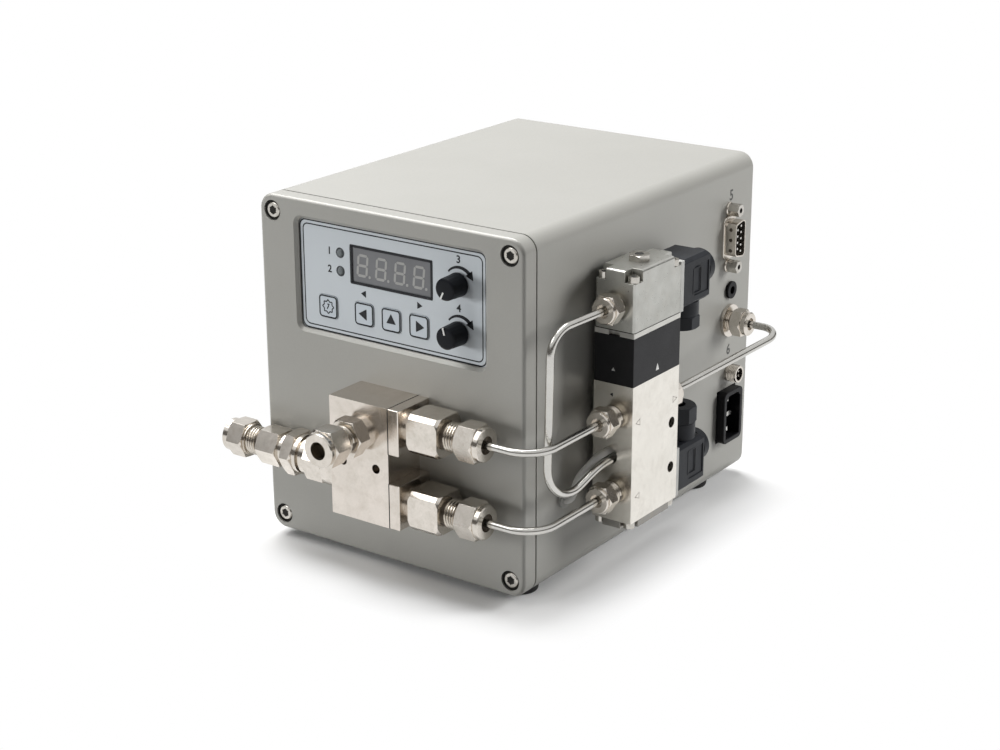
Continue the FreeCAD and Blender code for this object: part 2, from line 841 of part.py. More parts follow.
plate_holes = [rod(f"plate_hole_{index}", s.screw_shank_radius + s.fit_gap, s.plate_thickness + 2,
                   (across, front - 1, height), "y")
               for index, (across, height) in enumerate(screw_spots)]
plate_holes += [rod(f"plate_sink_{index}", s.counterbore_radius, s.screw_head_height + s.head_sink + 1,
                    (across, front - 1, height), "y")
                for index, (across, height) in enumerate(screw_spots)]
manifold_screw_spots = [(across * s.manifold_screw_across, s.block_bottom + s.block_height / 2 + offset)
                        for across in (-1, 1)
                        for offset in (-s.manifold_screw_rise, s.manifold_screw_rise)]
plate_holes += [rod(f"manifold_hole_{index}", s.manifold_screw_radius + s.fit_gap,
                    s.plate_thickness + 2, (across, front - 1, height), "y")
                for index, (across, height) in enumerate(manifold_screw_spots)]
plate_openings = panel_cutters("plate", floor_of_pocket - 1, s.plate_thickness + 1, s.key_gap)
node("front_plate", cut("front_cover", plate_blank,
                        [pocket, pocket_lip] + plate_holes + plate_openings))

# Printed overlay in the pocket
overlay_blank = rounded_bar("overlay_blank", panel_inner_width - s.fit_gap * 2,
                            panel_inner_height - s.fit_gap * 2, s.overlay_thickness,
                            s.panel_radius - s.panel_lip - s.fit_gap,
                            (s.panel_across, overlay_front, panel_middle))
overlay_openings = panel_cutters("overlay", overlay_front - 1, s.overlay_thickness + 2, s.key_gap)
node("membrane_panel", cut("overlay", overlay_blank, overlay_openings))

# Board behind the panel, with its switches, lamps and display
board_front = plate_back + s.board_gap
board_box_size = (s.panel_width - s.board_margin * 2, s.board_thickness,
                  s.panel_height - s.board_margin * 2)
board_blank = middle_box("keypad_blank", (s.panel_across, board_front + s.board_thickness / 2,
                                          panel_middle), board_box_size)
post_spots = [(s.panel_across + across * (s.panel_width / 2 - s.board_margin * 2.4),
               panel_middle + rise * (s.panel_height / 2 - s.board_margin * 2.2))
              for across in (-1, 1) for rise in (-1, 1)]
board_holes = [rod(f"keypad_hole_{knob}", s.bush_radius + s.fit_gap, s.board_thickness + 2,
                   (s.knob_across, board_front - 1, height), "y")
               for knob, height in knob_spots.items()]
keypad = cut("keypad", board_blank, board_holes)
standoffs = [rod(f"standoff_{index}", s.standoff_radius, s.board_gap, (across, plate_back, height), "y")
             for index, (across, height) in enumerate(post_spots)]

switch_parts = []
for key, across in key_spots.items():
    case = middle_box(f"{key}_switch_case",
                      (across, board_front - s.switch_depth / 2, key_row),
                      (s.switch_size, s.switch_depth, s.switch_size))
    well = rod(f"{key}_switch_well", s.key_stem_radius + s.fit_gap,
               s.key_engagement + s.key_travel * 2, (across, board_front - s.switch_depth, key_row),
               "y")
    switch_parts.append(cut(f"{key}_switch", case, [well]))
node("key_switches", group("switches", switch_parts))

key_front = overlay_front - s.key_proud
key_back = key_front + s.key_thickness
stem_end = board_front - s.switch_depth + s.key_engagement
for key, across in key_spots.items():
    pad = rounded_bar(f"{key}_pad", s.key_size, s.key_size, s.key_thickness, s.key_radius,
                      (across, key_front, key_row), chamfer=s.key_bevel)
    stem = rod(f"{key}_stem", s.key_stem_radius, stem_end - key_back, (across, key_back, key_row), "y")
    node(key, fuse(f"{key}_body", [pad, stem]))

display_case = middle_box("display_case",
                          (s.display_across, (overlay_front + s.display_sink + board_front) / 2,
                           display_height),
                          (s.display_wide, board_front - overlay_front - s.display_sink, s.display_tall))
node("display_module", display_case)

lamp_front = overlay_front - s.lamp_proud
lamp_length = board_front - lamp_front
lamps = [turned(f"lamp_{index}",
                [(0, 0), (0, s.lamp_radius * 0.45), (0.35, s.lamp_radius * 0.82),
                 (0.9, s.lamp_radius), (lamp_length, s.lamp_radius), (lamp_length, 0)],
                (s.lamp_across, lamp_front, height), "y")
         for index, height in enumerate(lamp_spots)]
node("status_lamps", group("lamps", lamps))

# Potentiometers and knobs; each knob turns with the shaft it is set on
knob_back = overlay_front - s.knob_lift
knob_face = knob_back - s.knob_length
shaft_tip = knob_face + s.knob_crown
shaft_end = board_front + s.pot_depth / 2
pots = []
for knob, height in knob_spots.items():
    bush = rod(f"{knob}_bush", s.bush_radius, board_front - floor_of_pocket,
               (s.knob_across, floor_of_pocket, height), "y")
    pot_case = middle_box(f"{knob}_pot_case",
                          (s.knob_across, board_front + s.board_thickness + s.pot_depth / 2, height),
                          (s.pot_size, s.pot_depth, s.pot_size))
    pot_neck = rod(f"{knob}_pot_neck", s.bush_radius, s.board_thickness + 1,
                   (s.knob_across, board_front, height), "y")
    pot_solid = fuse(f"{knob}_pot_solid", [bush, pot_case, pot_neck])
    pot_bore = rod(f"{knob}_pot_bore", s.shaft_radius + s.running_gap,
                   shaft_end - floor_of_pocket + 1, (s.knob_across, floor_of_pocket - 0.5, height), "y")
    pots.append(cut(f"{knob}_pot", pot_solid, [pot_bore]))
    node(f"shaft_{knob}", rod(f"{knob}_shaft", s.shaft_radius, shaft_end - shaft_tip,
                              (s.knob_across, shaft_tip, height), "y"))
    length = s.knob_length
    cap_blank = turned(f"{knob}_knob_blank",
                       [(0, 0), (0, s.knob_face_radius - 0.5), (0.4, s.knob_face_radius),
                        (length - 0.2, s.knob_radius), (length, s.knob_radius - 0.2), (length, 0)],
                       (s.knob_across, knob_face, height), "y")
    cap_bore = rod(f"{knob}_knob_bore", s.shaft_radius + s.fit_gap / 2, length,
                   (s.knob_across, shaft_tip, height), "y")
    node(f"knob_{knob}", cut(f"{knob}_knob", cap_blank, [cap_bore]))
node("potentiometers", group("pot_set", pots))

# Manifold on the front plate
block_front = front - s.block_depth
port_back = front - s.block_depth / 2
block_side = s.block_width / 2
manifold_screw_reach = s.block_depth / 2 - s.port_bore - s.manifold_screw_gap
block_top = s.block_bottom + s.block_height
plate_side = block_side + s.side_plate_thickness
bore = s.port_bore + s.spigot_gap


def passage(name, start, along, length, radius=None):
    """A drilled way through the manifold or the valve."""
    return rod(name, radius or s.passage_radius, length, start, along)


block_blank = box("block_blank", (-block_side, block_front, s.block_bottom),
                  (s.block_width, s.block_depth, s.block_height))
block_cuts = [
    passage("port_front", (0, block_front, s.inlet_high), "y", s.port_depth, bore),
    passage("port_left", (-block_side, port_back, s.left_high), "x", s.port_depth, bore),
    passage("way_front", (0, block_front, s.inlet_high), "y", s.block_depth / 2),
    passage("way_left", (-block_side, port_back, s.left_high), "x", block_side),
    passage("way_link", (0, port_back, s.port_low), "z", s.left_high - s.port_low),
    passage("way_rise", (0, port_back, s.inlet_high), "z", s.port_high - s.inlet_high),
]
for name, high in (("high", s.port_high), ("low", s.port_low)):
    block_cuts.append(passage(f"port_{name}", (block_side, port_back, high), "-x",
                              s.port_depth - s.side_plate_thickness, bore))
    block_cuts.append(passage(f"way_{name}", (block_side, port_back, high), "-x", block_side))
for across in (-1, 1):
    block_cuts.append(passage(f"tapped_{across + 1}",
                              (across * s.mount_hole_across, block_front,
                               s.block_bottom + s.block_height * 0.474),
                              "y", s.mount_hole_depth, s.mount_hole_radius))
block_cuts += [rod(f"block_screw_hole_{index}", s.manifold_screw_radius + s.fit_gap,
                   manifold_screw_reach + 1, (across, front, height), "-y")
               for index, (across, height) in enumerate(manifold_screw_spots)]
node("manifold_block", cut("manifold", block_blank, block_cuts))
side_plates = []
for name, low, high in (("upper", block_top - s.side_plate_height, s.port_high),
                        ("lower", s.block_bottom, s.port_low)):
    slab = box(f"slab_{name}", (block_side, block_front, low),
               (s.side_plate_thickness, s.block_depth, s.side_plate_height))
    hole = passage(f"slab_{name}_hole", (block_side - 1, port_back, high), "x",
                   s.side_plate_thickness + 2, bore)
    side_plates.append(cut(f"side_plate_{name}", slab, [hole]))
node("side_plates", group("side_plate_set", side_plates))

manifold_screws = []
for index, (across, height) in enumerate(manifold_screw_spots):
    length = s.plate_thickness + manifold_screw_reach
    shank = rod(f"manifold_shank_{index}", s.manifold_screw_radius, length,
                (across, plate_back, height), "-y")
    head = rod(f"manifold_head_{index}", s.manifold_head_radius, s.manifold_head_height,
               (across, plate_back, height), "y")
    socket = hexagon(f"manifold_socket_{index}", s.socket_radius * 1.7, s.socket_depth,
                     (across, plate_back + s.manifold_head_height - s.socket_depth, height), "y")
    manifold_screws.append(cut(f"manifold_screw_{index}",
                               fuse(f"manifold_screw_blank_{index}", [shank, head]), [socket]))


def fitting(name, start, along, sections, spigot, spigot_radius, bores):
    """A tube fitting's body: its spigot, then round and wrench sections, less its bores."""
    pieces = [rod(f"{name}_spigot", spigot_radius, spigot, step(start, along, -as_length(spigot)), along)]
    place = as_length(0)
    for index, (kind, size, length, turn_by) in enumerate(sections):
        here = step(start, along, place)
        label = f"{name}_part_{index}"
        if kind == "round":
            pieces.append(rod(label, size, length, here, along))
        else:
            pieces.append(faceted(label, kind, size, length, here, along, turn_by))
        place = place + as_length(length)
    cutters = [rod(f"{name}_bore_{index}", radius, length, step(start, along, begin), along)
               for index, (radius, begin, length) in enumerate(bores)]
    return cut(name, fuse(f"{name}_solid", pieces), cutters)


def tube_nut(name, start, along, thread_radius, sections, out_bore, thread_depth, recess=None):
    """A tube nut: wrench section and collar, bored for the thread and for the tube.

    A recess is the radius and the depth of the wider mouth round the tube.
    """
    pieces = []
    place = as_length(0)
    for index, (kind, size, length, turn_by) in enumerate(sections):
        here = step(start, along, place)
        label = f"{name}_part_{index}"
        if kind == "round":
            length = as_length(length)
            size = as_length(size)
            pieces.append(turned(label, [(0, 0), (0, size), (length - 0.4, size),
                                         (length, size - 0.4), (length, 0)], here, along))
        else:
            pieces.append(faceted(label, kind, size, length, here, along, turn_by))
        place = place + length
    cutters = [rod(f"{name}_thread", thread_radius, thread_depth, start, along),
               rod(f"{name}_way", out_bore, place + 2, step(start, along, -1), along)]
    if recess is not None:
        radius, depth = recess
        cutters.append(rod(f"{name}_mouth", radius, depth + 1, step(start, along, place - depth),
                           along))
    return cut(name, fuse(f"{name}_solid", pieces), cutters)


def big_nut(name, start, along, turn_by=0):
    """The nut of a manifold fitting, the collar to the outside."""
    sections = [("hex", s.nut_flats, s.nut_hex_length, turn_by),
                ("round", s.nut_collar_radius, s.nut_collar_length, 0)]
    return tube_nut(name, start, along, s.thread_radius + s.fit_gap, sections, s.nut_bore,
                    s.thread_reach + 0.3)


big_bore = s.passage_radius
neck_length = s.neck_thread_gap + s.thread_reach
outlet_start = {}
outlets = []
tube_nuts = []
for name, high in (("upper", s.port_high), ("lower", s.port_low)):
    start = (plate_side, port_back, high)
    outlet_start[name] = start
    sections = [("round", s.neck_boss_radius, s.neck_boss_length, 0),
                ("square", s.square_side, s.square_length, 0),
                ("round", s.thread_radius, neck_length, 0)]
    whole = s.neck_boss_length + s.square_length + neck_length
    bores = [(big_bore * 0.75, -s.port_depth - 1, whole + s.port_depth + 2),
             (s.tube_radius + s.running_gap, whole - s.tube_seat, s.tube_seat + 1)]
    outlets.append(fitting(f"outlet_{name}", start, "x", sections, s.port_depth, s.port_bore, bores))
    nut_start = step(start, "x", s.neck_boss_length + s.square_length + s.neck_thread_gap)
    tube_nuts.append(big_nut(f"outlet_{name}_nut", nut_start, "x"))
node("outlet_bodies", group("outlet_set", outlets))

sleeve_length = s.nut_hex_length + s.nut_collar_length - s.thread_reach - s.sleeve_recess
sleeves = []
for name in ("upper", "lower"):
    start = step(outlet_start[name], "x",
                 s.neck_boss_length + s.square_length + neck_length + 0.1)
    sleeve = rod(f"sleeve_{name}", s.nut_bore - s.running_gap, sleeve_length, start, "x")
    hole = rod(f"sleeve_hole_{name}", s.tube_radius + s.running_gap, sleeve_length + 2,
               step(start, "x", -1), "x")
    sleeves.append(cut(f"sleeve_ring_{name}", sleeve, [hole]))
node("tube_sleeves", group("sleeve_set", sleeves))

# Fitting that points forward
start = (0, block_front, s.inlet_high)
sections = [("round", s.front_collar_radius, s.front_collar_length, 0),
            ("hex", s.nut_flats, s.front_hex_length, 0),
            ("round", s.thread_radius, s.front_thread_gap + s.thread_reach, 0)]
whole = s.front_collar_length + s.front_hex_length + s.front_thread_gap + s.thread_reach
node("inlet_front_body", fitting("front_fitting", start, "-y", sections, s.port_depth, s.port_bore,
                                 [(big_bore, -s.port_depth - 1, whole + s.port_depth + 2),
                                  (s.tube_socket_radius, whole - s.tube_socket_depth,
                                   s.tube_socket_depth + 1)]))
nut_start = step(start, "-y", s.front_collar_length + s.front_hex_length + s.front_thread_gap)
tube_nuts.append(big_nut("front_nut", nut_start, "-y"))

# Stack that points left: adapter, collar, fitting and nut
start = (-block_side, port_back, s.left_high)
disc = s.left_disc_length
adapter_sections = [("round", s.left_disc_radius, disc - 0.6, 0),
                    ("round", s.left_groove_radius, 0.6, 0),
                    ("hex", s.left_hex_flats, s.left_hex_long, s.left_hex_turn),
                    ("round", s.left_neck_radius, s.left_neck_length, 0),
                    ("round", s.left_groove_radius, s.left_groove_length, 0)]
adapter_length = disc + s.left_hex_long + s.left_neck_length + s.left_groove_length
node("left_adapter", fitting("left_adapter_body", start, "-x", adapter_sections, s.port_depth,
                             s.port_bore, [(big_bore, -s.port_depth - 1,
                                            adapter_length + s.port_depth + 2)]))
collar_start = step(start, "-x", adapter_length)
collar_sections = [("round", s.left_collar_radius, s.left_collar_length, 0),
                   ("hex", s.left_hex_flats, s.left_hex_short, 0),
                   ("round", s.left_groove_radius, s.left_gap_length, 0)]
collar_length = s.left_collar_length + s.left_hex_short + s.left_gap_length
node("left_collar", fitting("left_collar_body", collar_start, "-x", collar_sections, 0.01,
                            s.thread_radius, [(big_bore, -1, collar_length + 2)]))
body_start = step(collar_start, "-x", collar_length)
body_sections = [("hex", s.nut_flats, s.left_body_hex, 0),
                 ("round", s.thread_radius, s.left_thread_gap + s.thread_reach, 0)]
body_length = s.left_body_hex + s.left_thread_gap + s.thread_reach
node("left_fitting_body", fitting("left_body", body_start, "-x", body_sections, 0.01,
                                  s.thread_radius,
                                  [(big_bore, -1, body_length + 2),
                                   (s.tube_socket_radius, body_length - s.tube_socket_depth,
                                    s.tube_socket_depth + 1)]))
nut_start = step(body_start, "-x", s.left_body_hex + s.left_thread_gap)
left_nut_sections = [("round", s.nut_collar_radius - 0.2, 0.9, 0),
                     ("hex", s.nut_flats, s.nut_hex_length - 0.6, 0),
                     ("round", s.nut_collar_radius, s.nut_collar_length + 0.7, 0)]
tube_nuts.append(tube_nut("left_nut", nut_start, "-x", s.thread_radius + s.fit_gap,
                          left_nut_sections, s.nut_bore, s.thread_reach + 0.3))
node("tube_nuts", group("tube_nut_set", tube_nuts))

# Valve on the right side: base plate, body, spacer block, strip and cap
valve_mid_back = valve_front + s.valve_depth / 2
body_bottom = s.valve_bottom + s.base_plate_height


def valve_slab(name, low, high):
    """A block of the valve stack between two heights."""
    return box(name, (valve_left, valve_front, low), (s.valve_width, s.valve_depth, high - low))


tie_spots = [(across, back)
             for across in (valve_left + s.tie_screw_inset, valve_right - s.tie_screw_inset)
             for back in (valve_front + s.tie_screw_setback, valve_rear - s.tie_screw_setback)]


def tie_holes(tag, low, high):
    """The four corner holes that the valve's long screws pass through."""
    return [rod(f"{tag}_tie_{index}", s.tie_screw_radius + s.fit_gap, high - low, (across, back, low))
            for index, (across, back) in enumerate(tie_spots)]


def corner_notches(tag, low, height):
    """Four corner recesses that leave room for screw heads."""
    cutters = []
    for index, (side_x, side_y) in enumerate(((0, 0), (0, 1), (1, 0), (1, 1))):
        across = valve_right - s.notch_size if side_x else valve_left - 1
        back = valve_rear - s.notch_length if side_y else valve_front - 1
        cutters.append(box(f"{tag}_notch_{index}", (across, back, low),
                           (s.notch_size + 1, s.notch_length + 1, height)))
    return cutters


front_ports = {"upper": (s.port_high, s.small_thread_gap), "lower": (s.port_low, s.small_thread_gap)}
valve_cuts = []
for name, (high, gap) in front_ports.items():
    spot = (valve_across, valve_front, high)
    valve_cuts.append(passage(f"valve_port_{name}", spot, "y", s.valve_port_depth,
                              s.valve_port_bore + s.spigot_gap))
    valve_cuts.append(passage(f"valve_way_{name}", spot, "y", s.valve_depth / 2, s.valve_way_radius))
rear_spot = (valve_across, valve_rear, s.rear_port_high)
valve_cuts.append(passage("valve_port_rear", rear_spot, "-y", s.valve_port_depth,
                          s.valve_port_bore + s.spigot_gap))
valve_cuts.append(passage("valve_way_rear", rear_spot, "-y", s.valve_depth / 2, s.valve_way_radius))
valve_cuts.append(passage("cable_way", (valve_across + s.cable_hole_across, valve_front,
                                        s.cable_hole_high), "y", s.cable_hole_depth,
                          s.cable_hole_radius))
for index, (back, high) in enumerate(mount_screw_spots):
    valve_cuts.append(rod(f"valve_mount_way_{index}", s.mount_screw_radius + s.fit_gap,
                          s.valve_width + 2, (valve_left - 1, back, high), "x"))
    valve_cuts.append(rod(f"valve_mount_sink_{index}", s.mount_hole_wide,
                          s.mount_head_sink + s.mount_head_height + 1,
                          (valve_right + 1, back, high), "-x"))
spool_start = (valve_across, valve_mid_back, s.spool_bottom)
valve_cuts.append(rod("spool_way", s.spool_radius + s.running_gap,
                      s.spool_top - s.spool_bottom + s.spool_travel + s.end_gap * 2,
                      (valve_across, valve_mid_back, s.spool_bottom - s.end_gap)))
valve_cuts += tie_holes("valve", s.tie_screw_end - 0.5, s.valve_body_top + 1)
base_screw_spots = tie_spots
valve_cuts += [rod(f"valve_base_hole_{index}", s.tie_screw_radius + s.fit_gap,
                   s.base_screw_reach + 0.5, (across, back, body_bottom))
               for index, (across, back) in enumerate(base_screw_spots)]
node("valve_body", cut("valve_block", valve_slab("valve_blank", body_bottom, s.valve_body_top),
                       valve_cuts))
node("valve_base_plate", cut("valve_base", valve_slab("base_blank", s.valve_bottom, body_bottom),
                             corner_notches("base", s.valve_bottom - 1, s.base_plate_height + 2)))
node("valve_spacer_block", cut("valve_spacer", valve_slab("spacer_blank", s.valve_body_top,
                                                          s.spacer_top),
                               tie_holes("spacer", s.valve_body_top - 1, s.spacer_top + 1)))
strip_notch = box("strip_notch", (valve_across - s.strip_notch_width / 2, valve_front - 1,
                                  s.spacer_top - 1),
                  (s.strip_notch_width, s.strip_notch_depth + 1, s.strip_top - s.spacer_top + 2))
node("valve_gasket_strip", cut("valve_strip", valve_slab("strip_blank", s.spacer_top, s.strip_top),
                               tie_holes("strip", s.spacer_top - 1, s.strip_top + 1) + [strip_notch]))
notch_floor = s.cap_top - s.notch_depth
cap_cuts = corner_notches("cap", notch_floor, s.notch_depth + 1)
cap_cuts += tie_holes("cap", s.strip_top - 1, s.cap_top + 1)
cap_spot = (valve_across, valve_front, s.cap_port_high)
cap_cuts.append(passage("cap_port", cap_spot, "y", s.valve_port_depth,
                        s.valve_port_bore + s.spigot_gap))
cap_cuts.append(rod("cap_plug_hole", s.hex_plug_bore + s.fit_gap, s.hex_plug_reach + 1,
                    (valve_across, valve_mid_back, s.cap_top - s.hex_plug_reach)))
cap_blank = soften("cap_soft", valve_slab("cap_blank", s.strip_top, s.cap_top), s.cap_round,
                   kind="Part::Fillet", sharp=("z", s.strip_top))
node("valve_cap", cut("valve_top", cap_blank, cap_cuts))

plug_hex = faceted("plug_hex", "hex", s.hex_plug_flats, s.hex_plug_height,
                   (valve_across, valve_mid_back, s.cap_top), "z", 0, (False, True))
plug_stem = rod("plug_stem", s.hex_plug_bore, s.hex_plug_reach - 1,
                (valve_across, valve_mid_back, s.cap_top - s.hex_plug_reach + 1))
plug_socket = hexagon("plug_socket", s.socket_radius * 2, s.socket_depth,
                      (valve_across, valve_mid_back,
                       s.cap_top + s.hex_plug_height - s.socket_depth), "z")
node("valve_hex_plug", cut("hex_plug", fuse("hex_plug_solid", [plug_hex, plug_stem]), [plug_socket]))

tie_screws = []
for index, (across, back) in enumerate(tie_spots):
    head = rod(f"tie_head_{index}", s.tie_head_radius, s.tie_head_height, (across, back, notch_floor))
    shank = rod(f"tie_shank_{index}", s.tie_screw_radius, notch_floor - s.tie_screw_end,
                (across, back, s.tie_screw_end))
    socket = hexagon(f"tie_socket_{index}", s.tie_socket_radius * 2, s.socket_depth,
                     (across, back, notch_floor + s.tie_head_height - s.socket_depth), "z")
    tie_screws.append(cut(f"tie_screw_{index}", fuse(f"tie_blank_{index}", [head, shank]), [socket]))

base_screws = []
for index, (across, back) in enumerate(base_screw_spots):
    head = rod(f"base_head_{index}", s.tie_head_radius, s.tie_head_height,
               (across, back, body_bottom - s.tie_head_height))
    shank = rod(f"base_shank_{index}", s.tie_screw_radius, s.base_screw_reach,
                (across, back, body_bottom))
    base_screws.append(fuse(f"base_screw_{index}", [head, shank]))
node("valve_screws", group("valve_screw_set", tie_screws + base_screws))

# Spool inside the valve body
land = (s.spool_top - s.spool_bottom) / 5
spool_outline = [(0, 0), (0, s.spool_radius), (land, s.spool_radius), (land, s.spool_waist),
                 (land * 2, s.spool_waist), (land * 2, s.spool_radius), (land * 3, s.spool_radius),
                 (land * 3, s.spool_waist), (land * 4, s.spool_waist),
                 (land * 4, s.spool_radius), (land * 5, s.spool_radius), (land * 5, 0)]
node("valve_spool", turned("spool", spool_outline, spool_start, "z"))

# Small tube fittings of the valve
small_ports = {
    "upper": ((valve_across, valve_front, s.port_high), "-y", s.small_thread_gap, 0),
    "lower": ((valve_across, valve_front, s.port_low), "-y", s.small_thread_gap, 0),
    "cap": ((valve_across, valve_front, s.cap_port_high), "-y", s.cap_thread_gap, 0),
    "rear": ((valve_across, valve_rear, s.rear_port_high), "y", s.small_thread_gap, 30),
}
connectors = []
small_nuts = []
for name, (spot, along, gap, turn_by) in small_ports.items():
    reach = gap + s.small_thread_reach
    connectors.append(fitting(f"connector_{name}", spot, along,
                              [("round", s.small_thread_radius, reach, 0)],
                              s.valve_port_depth - 0.3, s.valve_port_bore,
                              [(s.tube_radius + s.running_gap, reach - s.small_tube_seat, 20),
                               (s.valve_way_radius, -s.valve_port_depth - 1, 20)]))
    small_nuts.append(tube_nut(f"small_nut_{name}", step(spot, along, gap), along,
                               s.small_thread_radius + s.fit_gap,
                               [("hex", s.small_nut_flats, s.small_nut_hex, turn_by),
                                ("round", s.small_collar_radius, s.small_nut_collar, 0)],
                               s.tube_radius + s.running_gap, s.small_thread_reach + 0.2,
                               (s.small_recess_radius, s.small_recess)))
node("valve_port_connectors", group("connector_set", connectors))
node("valve_port_nuts", group("small_nut_set", small_nuts))

# Screws and spacers that hold the valve to the side wall
spacers = []
mount_screws = []
for index, (back, high) in enumerate(mount_screw_spots):
    ring = rod(f"spacer_rod_{index}", s.spacer_radius, s.valve_gap, (side, back, high), "x")
    hole = rod(f"spacer_hole_{index}", s.mount_screw_radius + s.fit_gap, s.valve_gap + 2,
               (side - 1, back, high), "x")
    spacers.append(cut(f"spacer_{index}", ring, [hole]))
    head_at = valve_right - s.mount_head_sink
    head = rod(f"mount_head_{index}", s.mount_hole_wide - s.fit_gap, s.mount_head_height,
               (head_at, back, high), "-x")
    shank = rod(f"mount_shank_{index}", s.mount_screw_radius,
                head_at - s.mount_head_height - side + s.housing_wall + 4,
                (side - s.housing_wall - 4, back, high), "x")
    socket = hexagon(f"mount_socket_{index}", s.tie_socket_radius * 2, s.socket_depth,
                     (head_at - s.socket_depth, back, high), "x")
    mount_screws.append(cut(f"mount_screw_{index}",
                            fuse(f"mount_blank_{index}", [head, shank]), [socket]))
node("valve_spacers", group("spacer_set", spacers))

# Plugs on the rear of the valve; the lower one is the upper one turned upside down
plug_low_corner = valve_across - s.plug_width / 2
plug_start = valve_rear + s.seal_thickness + s.plug_gap
gland_back = valve_rear + s.gland_setback
plug_cases = []
plug_seals = []
plug_glands = []
for name, high, way, rise, neck, nut in (
        ("upper", s.plug_high, -1, s.plug_hub_rise_upper, s.gland_neck_upper,
         s.gland_nut_upper),
        ("lower", s.plug_low, 1, s.plug_hub_rise_lower, s.gland_neck_lower,
         s.gland_nut_lower)):
    plug_seals.append(middle_box(f"seal_{name}",
                                 (valve_across, valve_rear + s.seal_thickness / 2, high),
                                 (s.plug_width + 0.4, s.seal_thickness, s.plug_height + 1)))
    case = box(f"plug_{name}_case", (plug_low_corner, plug_start, high - s.plug_height / 2),
               (s.plug_width, s.plug_depth, s.plug_height))
    case = soften(f"plug_{name}_soft", case, s.plug_bevel, ("x", "y"))
    hub, groove = s.plug_hub_radius, s.plug_hub_groove
    boss = turned(f"plug_{name}_boss",
                  [(0, 0), (0, hub), (groove, hub), (groove, hub - groove),
                   (groove * 2, hub - groove), (groove * 2, hub), (s.plug_hub_length - 1.6, hub),
                   (s.plug_hub_length - 0.5, hub - 0.5), (s.plug_hub_length, hub - 1.6),
                   (s.plug_hub_length, 0)],
                  (valve_across, plug_start + s.plug_depth, high + rise), "y")
    field = middle_box(f"plug_{name}_field",
                       (valve_across + s.plug_width / 2,
                        plug_start + s.plug_field_start + s.plug_field_length / 2, high),
                       (s.plug_field_depth * 2, s.plug_field_length, s.plug_field_height))
    edge = high + way * s.plug_height / 2
    along = "z" if way > 0 else "-z"
    hole = rod(f"plug_{name}_hole", s.gland_spigot_radius + s.fit_gap, s.gland_spigot + 1,
               step((valve_across, gland_back, edge), along, -s.gland_spigot), along)
    wire_way = rod(f"plug_{name}_way", s.gland_bore, s.plug_height / 2,
                   (valve_across, gland_back, edge), "-z" if way > 0 else "z")
    plug_cases.append(cut(f"plug_{name}", fuse(f"plug_{name}_solid", [case, boss]),
                          [hole, wire_way, field]))
    neck_start = (valve_across, gland_back, edge)
    plug_glands.append(fitting(f"gland_{name}", neck_start, along,
                               [("round", s.gland_neck_radius, neck, 0),
                                ("octagon", s.gland_nut_flats, nut, 0)],
                               s.gland_spigot, s.gland_spigot_radius,
                               [(s.gland_bore, -s.gland_spigot - 1, neck + nut + s.gland_spigot + 2)]))
node("plug_housings", group("plug_set", plug_cases))
node("plug_glands", group("plug_gland_set", plug_glands))


def d_outline(length, width, slant):
    """The D outline of the nine-pin connector, long side up."""
    return [(-width / 2, -(length / 2) + slant), (width / 2, -(length / 2)),
            (width / 2, length / 2), (-width / 2, length / 2 - slant)]


# Nine-pin connector
dsub_spot = (side, dsub_back, s.dsub_high)
flange = middle_box("dsub_flange_blank", (side + s.dsub_flange / 2, dsub_back, s.dsub_high),
                    (s.dsub_flange, s.dsub_width, s.dsub_length))
hood = soften("dsub_hood_soft",
              milled("dsub_hood", "YZ_Plane",
                     d_outline(s.dsub_shell_length, s.dsub_shell_width, s.dsub_slant),
                     s.dsub_proud, dsub_spot),
              s.dsub_shell_round, ("x",), "Part::Fillet")
inner_length = s.dsub_shell_length - s.dsub_shell_wall * 2
inner_wide = s.dsub_shell_width - s.dsub_shell_wall * 2
hood_bore = soften("dsub_hood_bore_soft",
                   milled("dsub_hood_bore", "YZ_Plane",
                          d_outline(inner_length, inner_wide, s.dsub_slant),
                          s.dsub_proud + 2, (side - 1, dsub_back, s.dsub_high)),
                   s.dsub_shell_round - s.dsub_shell_wall, ("x",), "Part::Fillet")
jackscrew_spots = [s.dsub_high + way * s.jackscrew_pitch / 2 for way in (-1, 1)]
flange_holes = [rod(f"dsub_flange_hole_{index}", s.jackscrew_radius + s.fit_gap, 4,
                    (side - 1, dsub_back, high), "x")
                for index, high in enumerate(jackscrew_spots)]
node("dsub_shell", cut("dsub_hood_open", fuse("dsub_hood_solid", [flange, hood]),
                       [hood_bore] + flange_holes))
insert_front = milled("dsub_insert_front", "YZ_Plane",
                      d_outline(inner_length - s.fit_gap * 2, inner_wide - s.fit_gap * 2, s.dsub_slant),
                      s.dsub_insert_rise + s.dsub_inside,
                      (side - s.dsub_inside, dsub_back, s.dsub_high))
insert_front = soften("dsub_insert_soft", insert_front, s.dsub_shell_round - s.dsub_shell_wall,
                      ("x",), "Part::Fillet")
pins = []
pin_bores = []
pin_length = s.dsub_inside + s.dsub_proud - 0.6
for row, count in ((-1, 4), (1, 5)):
    for index in range(count):
        high = s.dsub_high + (index - (count - 1) / 2) * s.dsub_pin_pitch
        spot = (side - s.dsub_inside, dsub_back + row * s.dsub_row_gap / 2, high)
        pins.append(rod(f"dsub_pin_{row + 1}_{index}", s.dsub_pin_radius, pin_length, spot, "x"))
        pin_bores.append(rod(f"dsub_pin_way_{row + 1}_{index}", s.dsub_pin_radius + s.running_gap,
                             pin_length, step(spot, "-x", 1), "x"))
dsub_core = cut("dsub_core", insert_front, pin_bores)
jackscrews = []
